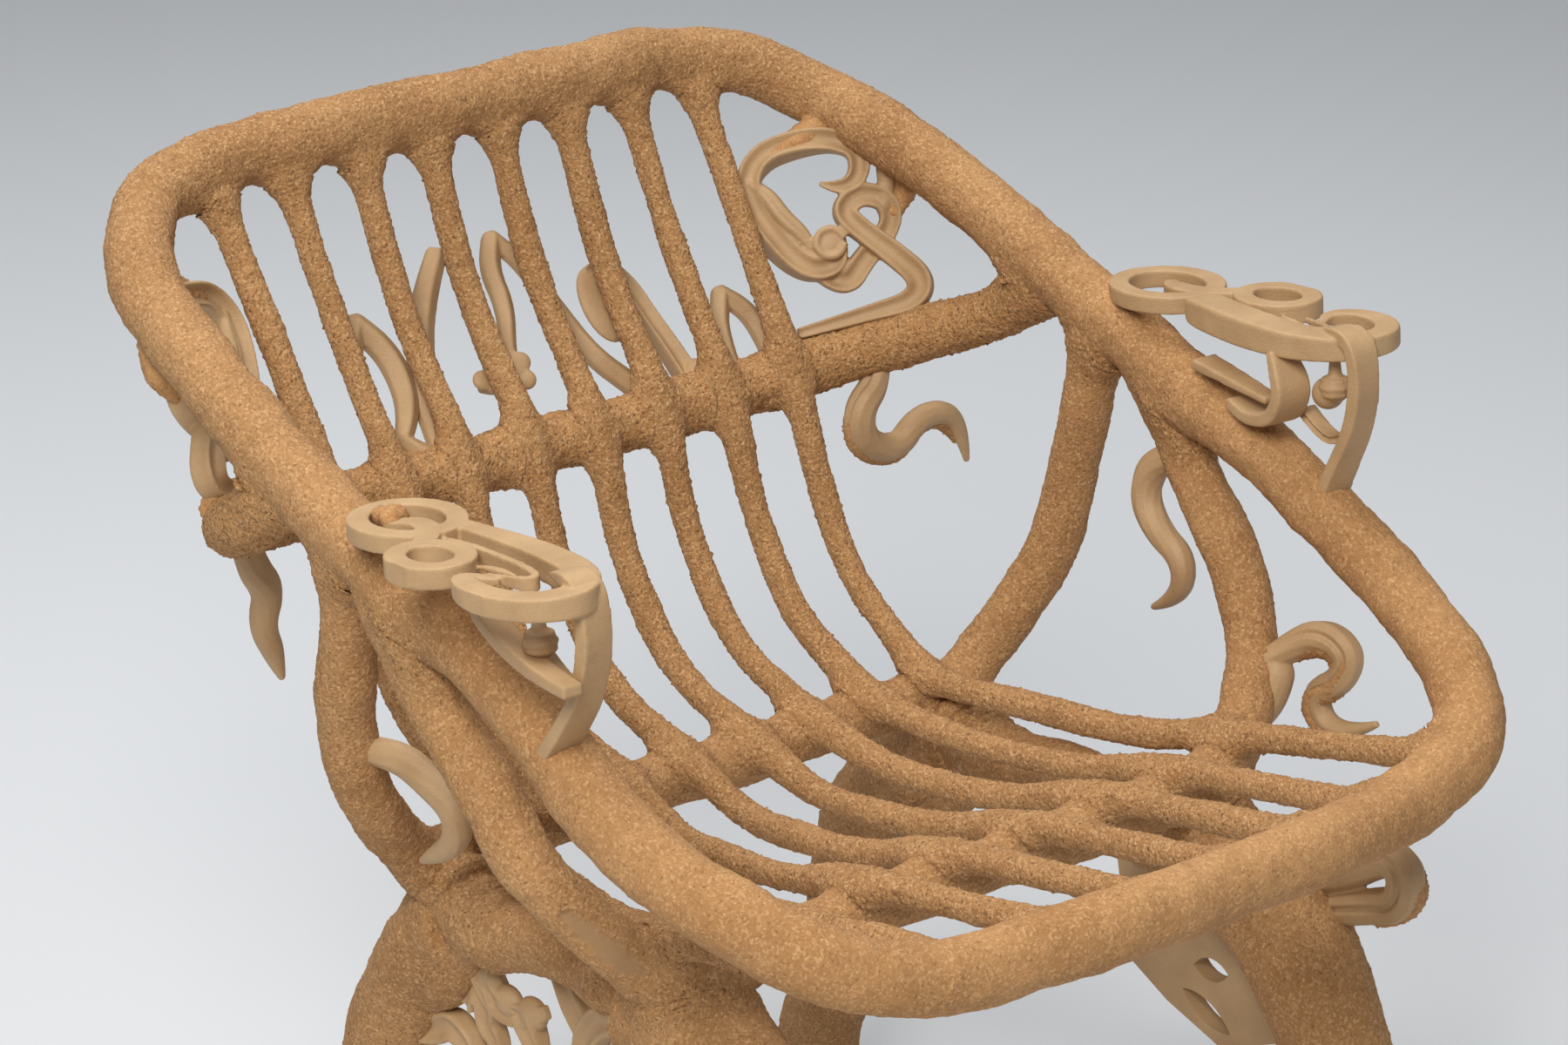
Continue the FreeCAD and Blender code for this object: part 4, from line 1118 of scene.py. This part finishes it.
for side in SIDES:
    flat = arm_boards(side)[0]
    parts = arm_straps(side) + acorn(side)
    lumps = [ball(flat.at(u, v, w), (reach,) * 3) for u, v, w, reach in ARM_LUMP_SHARES[side]]
    model(f"arm_scroll_{side}", parts, voxel=ARM_VOXEL, smooth=2, paste=lumps)
    model(f"arm_bracket_{side}", bracket(side))

# %% [markdown]
# Scrolls fill both corners of the back: a hook with a rolled disc at its end, a figure of eight
# whose tail runs along the rail, and a folded strap. They are made of hollowed straps that rise
# over each other where they cross, which a flat cut-out couldn't show. Paste at three places
# holds them to the rim and the rail.

# %% Back scroll shares
BACK_FROM_SHARE, BACK_TO_SHARE, BACK_SPAN = 0.666, 0.92, 0.150
BACK_UPPER_SHARE, STUB_SHARE, RIM_ABOVE_SHARE = 0.795, 0.73, 0.90
HOOK_SHARES = ((0.38, 0.80), (0.47, 0.74), (0.57, 0.78), (0.60, 0.90), (0.50, 0.98),
               (0.34, 1.01), (0.15, 1.00), (0.03, 0.87), (0.07, 0.66), (0.17, 0.47),
               (0.27, 0.41), (0.37, 0.44), (0.38, 0.54))
HOOK_SIZE, HOOK_LIFTS = (0.0145, 0.0165), (0.004, 0.005, 0, 0, 0)
HOOK_SIZES = (0.2, 0.75, 1.0, 1.1, 1.15, 1.15, 1.15, 1.2, 1.25, 1.2, 1.1, 1.0, 0.9)
HOOK_START_TURNS, HOOK_FOLDS, HOOK_END_TURNS = (0, 10, 0, -10, 14, 20), (-18, -24), (0, 8, 0)
EIGHT_SHARES = ((0.27, 0.42), (0.35, 0.30), (0.47, 0.41), (0.64, 0.51), (0.67, 0.63),
                (0.55, 0.71), (0.43, 0.65), (0.50, 0.53), (0.61, 0.39), (0.71, 0.235),
                (0.64, 0.145), (0.45, 0.155), (0.28, 0.160), (0.08, 0.165))
EIGHT_SIZE = (0.0155, 0.0150)
EIGHT_SIZES = (1.0, 1.12, 1.05, 0.95, 1.0, 1.1, 1.05, 1.0, 1.1, 1.2, 1.05, 0.8, 0.65, 0.5)
EIGHT_LIFTS = (-0.003, -0.003, -0.003, -0.002, 0.001, 0.002, 0.003, 0.005, 0.005, 0.003, 0.001,
               0, 0, 0)
FOLD_SHARES = ((0.05, 0.93), (0.13, 0.84), (0.17, 0.70), (0.25, 0.58), (0.27, 0.48))
FOLD_SIZE, FOLD_LIFTS = (0.0120, 0.0120), (0.002, 0.006, 0.004)
DISC_SHARES, DISC_OUT, DISC_REACH = (0.345, 0.520), 0.030, (0.0115, 0.0115, 0.0060)
DISC_EDGE_SHARE, DISC_EDGE_OUT, DISC_EDGE_RADIUS = 0.068, 0.062, 0.0026
STUB_SHARES, STUB_RADII = ((0.60, 0.60), (0.68, 0.605)), (0.006, 0.006, 0.007)
TOP_CRUST_SHARES = ((0.20, 0.98), (0.38, 1.04), (0.52, 1.08))
TOP_CRUST_RADII = (0.006, 0.0095, 0.011, 0.014)
EDGE_CRUST_SHARES = ((0.66, 0.56), (0.72, 0.62), (0.80, 0.72))
EDGE_CRUST_RADII = (0.005, 0.0075, 0.010, 0.013)
RAIL_CRUST_SHARES, RAIL_CRUST_LEVEL, RAIL_CRUST_OUT = (0.12, 0.30, 0.50, 0.70), 0.095, -0.02
RAIL_CRUST_RADII = (0.004, 0.0065, 0.0075, 0.0095)
print("hook and eight:", len(HOOK_SHARES), "and", len(EIGHT_SHARES), "points")

# %% [markdown]
# The board of a back scroll starts on the lumbar rail and leans towards the rim. Mirroring a
# finished scroll would turn its faces inside out, so the same tables are drawn on each side's
# own board, and whatever lifts or folds is turned towards the front of the chair.


# %% Back scrolls
def back_scroll(side):
    sign = SIDES[side]

    def on_side(p):
        return p.x * sign > 0

    def on_rim(share):
        return crossing(rim_line, 1, share * HALF_DEPTH, on_side)

    origin, along = [crossing(lumbar_line, 0, sign * share * HALF_WIDTH, on_side)
                     for share in (BACK_FROM_SHARE, BACK_TO_SHARE)]
    flat = Frame(origin, along - origin, on_rim(BACK_UPPER_SHARE) - origin, BACK_SPAN)
    front_up = flat.forward_side()
    stub_end = on_rim(STUB_SHARE)

    def forward(values):
        return [value * front_up for value in values]

    def strand(shares, end, radii):
        return tendril([flat.at(*share) for share in shares] + [end], radii)

    turns = (*HOOK_START_TURNS, *forward(HOOK_FOLDS), *HOOK_END_TURNS)
    parts = [
        band(flat, HOOK_SHARES, turned(HOLLOW, front_up), *HOOK_SIZE, sizes=HOOK_SIZES,
             lift=forward(HOOK_LIFTS), turn=turns),
        band(flat, FOLD_SHARES, turned(ROLLED, front_up), *FOLD_SIZE,
             sizes=(0.4, 1.0, 1.1, 0.9, 0.4), lift=forward(FOLD_LIFTS)),
        band(flat, EIGHT_SHARES, turned(HOLLOW, front_up), *EIGHT_SIZE, sizes=EIGHT_SIZES,
             lift=forward(EIGHT_LIFTS), turn=(0, 10, 0, -10, 0, 12, 8, 0)),
        ball(flat.at(*DISC_SHARES, DISC_OUT * front_up), DISC_REACH, flat),
        strand(STUB_SHARES, stub_end, STUB_RADII),
    ]
    edge = [flat.at(DISC_SHARES[0] + DISC_EDGE_SHARE * math.cos(a),
                    DISC_SHARES[1] + DISC_EDGE_SHARE * math.sin(a),
                    DISC_EDGE_OUT * front_up) for a in ONCE_ROUND]
    parts.append(tendril(edge, np.full(len(edge), DISC_EDGE_RADIUS)))
    paste = [
        strand(TOP_CRUST_SHARES, on_rim(RIM_ABOVE_SHARE), TOP_CRUST_RADII),
        strand(EDGE_CRUST_SHARES, stub_end, EDGE_CRUST_RADII),
        tendril([flat.at(u, RAIL_CRUST_LEVEL, RAIL_CRUST_OUT * front_up)
                 for u in RAIL_CRUST_SHARES], RAIL_CRUST_RADII),
    ]
    model(f"back_scroll_{side}", parts, paste=paste)


for side in SIDES:
    back_scroll(side)

# %% [markdown]
# A row of straps and a leaf stands on the lumbar rail behind the slats. Each could be modelled
# alone, but they are all straps on a board that leans back, so one table holds them: the place
# along the rail, the line, the section and the sizes. The leaf, the clover and the foot are
# added to the straps that have them, and a small lump of paste holds every root.

# %% Row behind the slats
ROW_SPAN, ROW_SIZE = 0.150, (0.0118, 0.0115)
ROW_SHARES = {
    "row_leaf_loop": (-0.38, ((0.00, 0), (-0.02, 0.20), (-0.04, 0.42), (0.00, 0.62),
                              (0.09, 0.76), (0.09, 0.76), (0.18, 0.62), (0.20, 0.44),
                              (0.15, 0.28), (0.08, 0.20)), RIDGE,
                      (0.9, 1.1, 1.3, 1.5, 1.5, 1.0)),
    "row_tall_strap": (-0.26, ((-0.01, 0), (0.01, 0.28), (0.08, 0.52), (0.21, 0.78),
                               (0.40, 1.00)), RIDGE, (1.2, 1.45, 1.6, 1.5, 1.2)),
    "row_hook_strap": (0.035, ((-0.17, 0), (-0.12, 0.28), (-0.06, 0.48), (0.02, 0.68),
                               (0.02, 0.86), (0.10, 1.00), (0.10, 1.00), (0.20, 0.86),
                               (0.26, 0.62), (0.34, 0.35), (0.48, 0.17), (0.60, 0)), RIDGE,
                       (0.9, 0.8, 1.2, 1.25, 1.0, 1.2, 1.3, 1.4)),
    "row_leaf_strap": (0.42, ((0, 0), (-0.03, 0.22), (-0.09, 0.45), (-0.12, 0.62),
                              (-0.20, 0.75), (-0.30, 0.72)), HOLLOW, (1.3, 1.2, 1.2, 1.1, 0.7)),
    "row_small_strap": (0.53, ((0, 0), (0.01, 0.27), (0.12, 0.46), (0.12, 0.46), (0.22, 0.36),
                               (0.25, 0.20), (0.25, 0)), RIDGE, (1.1, 1.2, 1.3)),
}
FOOT_SHARES, FOOT_SIZE = ((0.06, 0.22), (0.14, 0.08), (0.28, 0.08), (0.34, 0.20)), 0.0125
CLOVER_SHARES = ((-0.27, 0.36), (-0.22, 0.33), (-0.10, 0.36), (-0.055, 0.40), (-0.065, 0.315))
CLOVER_LINE_SHARES = ((-0.28, 0.35), (-0.16, 0.30), (-0.04, 0.33))
LOBE_REACH, LOBE_OUT, CLOVER_RADII = (0.0085, 0.0075, 0.0038), 0.03, (0.005, 0.007, 0.005)
LEAF_REACH, LEAF_HEEL_REACH = (0.0155, 0.0285, 0.0052), (0.011, 0.014, 0.008)
ROOT_SHARES, ROOT_RADII = (-0.10, 0.0, 0.10), (0.004, 0.0095, 0.004)


def row_extras(name, flat, front_up):
    """The leaf, clover or foot that goes with a strap."""
    out = LOBE_OUT * front_up
    if name == "row_leaf_strap":
        return [ball(flat.at(-0.29, 0.56), LEAF_REACH, flat),
                ball(flat.at(0.03, 0.10, out), LEAF_HEEL_REACH, flat)]
    if name == "row_hook_strap":
        lobes = [ball(flat.at(u, v, out), LOBE_REACH, flat) for u, v in CLOVER_SHARES]
        return lobes + [tendril([flat.at(*s) for s in CLOVER_LINE_SHARES], CLOVER_RADII)]
    if name == "row_leaf_loop":
        return [band(flat, FOOT_SHARES, RIDGE, FOOT_SIZE, FOOT_SIZE, sizes=(0.8, 1.4, 1.3, 0.6))]
    return []


for name, (x_share, shares, section, sizes) in ROW_SHARES.items():
    root = crossing(lumbar_line, 0, x_share * HALF_WIDTH)
    flat = Frame(root, Vector((1, 0, 0)), Vector((0, 0.65, 0.76)), ROW_SPAN)
    front_up = flat.forward_side()
    parts = [band(flat, shares, turned(section, front_up), *ROW_SIZE, sizes=sizes)]
    parts += row_extras(name, flat, front_up)
    lump = tendril([flat.at(u, 0.10) for u in ROOT_SHARES], ROOT_RADII)
    model(name, parts, smooth=2, paste=[lump])

# %% [markdown]
# Tendrils of rolled clay hang from the rail and the hoops, thick at the root and thin at the
# tip. Each starts on its bar, at a share of the chair's width or depth, and winds from there. Two
# of them have a crust of paste along the back, and one has a pad of clay that was wiped over the
# hoop.

# %% Tendril shares
WINDING_SPAN = 0.1
TENDRIL_SHARES = {
    "lumbar_tendril_right": (lumbar_line, 0, 0.86, 1, (
        (-0.04, -0.04, -0.24), (-0.26, -0.08, -0.40), (-0.20, -0.08, -0.66),
        (0.10, -0.08, -0.78), (0.28, -0.08, -0.58), (0.55, -0.08, -0.58),
        (0.70, -0.08, -0.80), (0.75, -0.08, -1.02))),
    "lumbar_tendril_left": (lumbar_line, 0, 0.86, -1, (
        (-0.05, -0.02, -0.28), (-0.17, -0.04, -0.48), (-0.10, -0.04, -0.70),
        (-0.18, -0.04, -0.92), (-0.24, -0.04, -1.12))),
    "hoop_tendril_inner": (front_line, 1, -0.065, 1, (
        (-0.05, 0.22, -0.12), (-0.10, 0.28, -0.38), (-0.13, 0.10, -0.58),
        (-0.15, -0.20, -0.70), (-0.15, -0.16, -0.98), (-0.13, 0.12, -1.14))),
    "hoop_tendril_outer": (front_line, 1, -0.33, 1, (
        (0.16, -0.18, 0.20), (0.24, -0.40, 0.35), (0.28, -0.62, 0.27), (0.28, -0.54, 0.04),
        (0.27, -0.32, -0.10), (0.28, -0.38, -0.30), (0.29, -0.63, -0.30),
        (0.30, -0.86, -0.15))),
    "hoop_tendril_left": (rear_line, 1, 0.21, -1, (
        (-0.15, -0.26, 0.02), (-0.19, -0.56, -0.08), (-0.19, -0.82, -0.16),
        (-0.19, -0.85, -0.36), (-0.19, -0.62, -0.55), (-0.19, -0.44, -0.66))),
}
PAD_SHARES = ((0.11, -0.15, 0.08), (0.05, -0.13, -0.08), (-0.03, -0.10, -0.24),
              (-0.09, -0.05, -0.41))
PAD_RADII = (0.008, 0.0110, 0.0140, 0.0135, 0.007)
THICKNESS_AT = (0, 0.2, 0.45, 0.8, 1)
THICKNESSES = (0.0080, 0.0112, 0.0104, 0.0080, 0.0022)
CRUSTED = ("lumbar_tendril_right", "hoop_tendril_outer")
CRUST_SHARE, CRUST_SHIFT = 0.92, Vector((0, 0.0035, -0.0045))
TENDRIL_TURN = 150
print("tendrils:", len(TENDRIL_SHARES))

# %% [markdown]
# One function winds them all. A tendril swells a little after its root and thins out to the tip,
# and its rolled section turns along the way, as a strand does that is twisted while it is wet.


# %% Tendrils
def winding(start, shares, sign=1):
    """Points from a start, by shares of one span."""
    return [start] + [start + Vector((x * sign, y, z)) * WINDING_SPAN for x, y, z in shares]


for name, (member, axis, share, sign, shares) in TENDRIL_SHARES.items():
    value = share * (HALF_WIDTH * sign if axis == 0 else HALF_DEPTH)
    line = winding(crossing(member, axis, value, lambda p, s=sign: p.x * s > 0), shares, sign)
    radii = np.interp(np.linspace(0, 1, len(line)), THICKNESS_AT, THICKNESSES)
    parts = [tendril(line, radii, turn=TENDRIL_TURN * sign, section=ROLLED)]
    if name == "hoop_tendril_outer":
        parts.append(tendril(winding(line[0], PAD_SHARES), PAD_RADII))
    crust = []
    if name in CRUSTED:
        crust = [tendril([p + CRUST_SHIFT for p in line[1:-1]], radii[1:-1] * CRUST_SHARE)]
    model(name, parts, smooth=2, paste=crust)

# %% [markdown]
# Under the front rail a short loop of rolled clay comes out of the right front leg and goes back
# into it. It is a tendril like the others, only thick along its whole length, with a crust on
# its outer half.

# %% Leg loop
LEG_LOOP_SHARES = ((0.28, -0.49, 0.15), (0.28, -0.71, 0.32), (0.28, -0.93, 0.48),
                   (0.28, -1.12, 0.44), (0.28, -1.09, 0.19), (0.28, -0.84, 0.09))
LOOP_RADIUS, LOOP_END_RADIUS, LOOP_CRUST_RADIUS, LOOP_TURN = 0.0126, 0.008, 0.0115, 90
LOOP_END_SHIFT, LOOP_CRUST_SHIFT = Vector((0.010, 0.014, 0.001)), Vector((0.003, -0.001, -0.003))
front = leg_points("right")[2]
line = winding((front[0] + front[1]) / 2, LEG_LOOP_SHARES) + [front[1] + LOOP_END_SHIFT]
radii = [LOOP_RADIUS] * len(line)
radii[0] = radii[-1] = LOOP_END_RADIUS
crust = [p + LOOP_CRUST_SHIFT for p in line[3:-1]]
model("leg_loop", [tendril(line, radii, turn=LOOP_TURN, section=ROLLED)],
      paste=[tendril(crust, [LOOP_CRUST_RADIUS] * len(crust))])

# %% [markdown]
# Below the left arch hangs a bunch of scrolls with a leaf, and the right arch holds a flat,
# pierced web. The scrolls are hollow straps on one standing board. The web is cut from a
# slab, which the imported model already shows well, so it keeps that shape and only gets the clay.

# %% Leg ornament
LEG_SCROLL_SHARES = {
    "arch_horn": (((-0.36, 0, 0.08), (-0.48, -0.24, 0.08), (-0.59, -0.36, 0.08),
                   (-0.71, -0.48, 0.08), (-0.66, -0.68, 0.08), (-0.50, -0.80, 0.08)),),
    "arch_leaf": (((0.24, -0.03), (0.36, -0.28), (0.31, -0.48), (0.12, -0.57), (-0.10, -0.53),
                   (-0.30, -0.42)),
                  ((-0.08, -0.50), (-0.16, -0.66), (-0.29, -0.80)),
                  ((0.54, -0.70), (0.52, -0.54), (0.37, -0.52), (0.30, -0.62), (0.32, -0.74),
                   (0.20, -0.84), (0.16, -1.04))),
    "arch_curl": (((1.22, -1.12), (0.90, -1.04), (0.72, -0.90), (0.54, -0.96), (0.42, -1.12),
                   (0.48, -1.34)),),
    "arch_bow": (((-1.41, -0.02, -0.08), (-1.14, -0.06, -0.08), (-0.94, -0.20, -0.08),
                  (-0.82, -0.42, -0.08), (-0.88, -0.72, -0.08), (-1.11, -0.90, -0.08)),),
}
LEAF_LOBE_SHARES = ((0.30, -0.40), (0.10, -0.50), (-0.16, -0.48))
LEAF_LOBE_REACH = (0.013, 0.011, 0.007)
LEG_SCROLL_SPAN, LEG_SCROLL_SIZE = 0.100, (0.0185, 0.0140)
flat = Frame(leg_points("left")[1][1], Vector((0, 1, 0)), Vector((0, 0, 1)), LEG_SCROLL_SPAN)
for name, lines in LEG_SCROLL_SHARES.items():
    parts = [band(flat, shares, turned(HOLLOW, -1), *LEG_SCROLL_SIZE, sizes=(1.1, 1.15, 1.0, 0.5))
             for shares in lines]
    if name == "arch_leaf":
        parts += [ball(flat.at(u, v), LEAF_LOBE_REACH, flat) for u, v in LEAF_LOBE_SHARES]
    model(name, parts)
dress(frame["nodes"]["arch_web"], clay_material)

# %% [markdown]
# The chair is done, so the sections that shaped the straps can go. The chair stands on a sheet of
# pale paper. Soft light comes from two large boxes, one from the front left and one from above
# and behind, with a faint one from the right to open the shadows.

# %% Stage and light
FLOOR_SIZE, FLOOR_DROP = 40, 0.0002
SKY_COLOUR, SKY_STRENGTH = (0.90, 0.94, 1.0, 1), 0.23
for o in [o for o in bpy.data.objects if o.name.startswith("profile")]:
    bpy.data.objects.remove(o)
bpy.ops.mesh.primitive_plane_add(size=FLOOR_SIZE, location=(0, 0, -FLOOR_DROP))
floor = bpy.context.object
floor.name = "floor"
paper = Shader("floor_paper", 0.8)
paper_tone = paper.mix(paper.noise(0.6, 2), (0.66, 0.67, 0.68), (0.70, 0.71, 0.72))
dress(floor, paper.finish(paper_tone, paper.noise(40, 2), 0.0002, 0.1))


def softbox(name, place_at, aim, size, power, tint):
    bpy.ops.object.light_add(type="AREA", location=place_at)
    light = bpy.context.object
    light.name = name
    light.data.shape, light.data.size, light.data.energy = "SQUARE", size, power
    light.data.color = tint
    light.rotation_mode = "QUATERNION"
    direction = Vector(aim) - Vector(place_at)
    light.rotation_quaternion = direction.to_track_quat("-Z", "Y")


softbox("key", (-2.0, -1.5, 3.0), (0, 0, 0.45), 1.5, 112, (0.99, 0.985, 0.97))
softbox("top", (0.3, 1.2, 3.4), (0, 0, 0.4), 2.2, 74, (0.98, 0.99, 1.0))
softbox("fill", (2.6, -2.2, 1.6), (0, 0, 0.4), 2.2, 7, (0.96, 0.98, 1.0))
world = bpy.data.worlds.new("studio")
bpy.context.scene.world = world
world.use_nodes = True
sky = world.node_tree.nodes["Background"]
sky.inputs["Color"].default_value = SKY_COLOUR
sky.inputs["Strength"].default_value = SKY_STRENGTH
bpy.context.scene.view_settings.view_transform = "Standard"
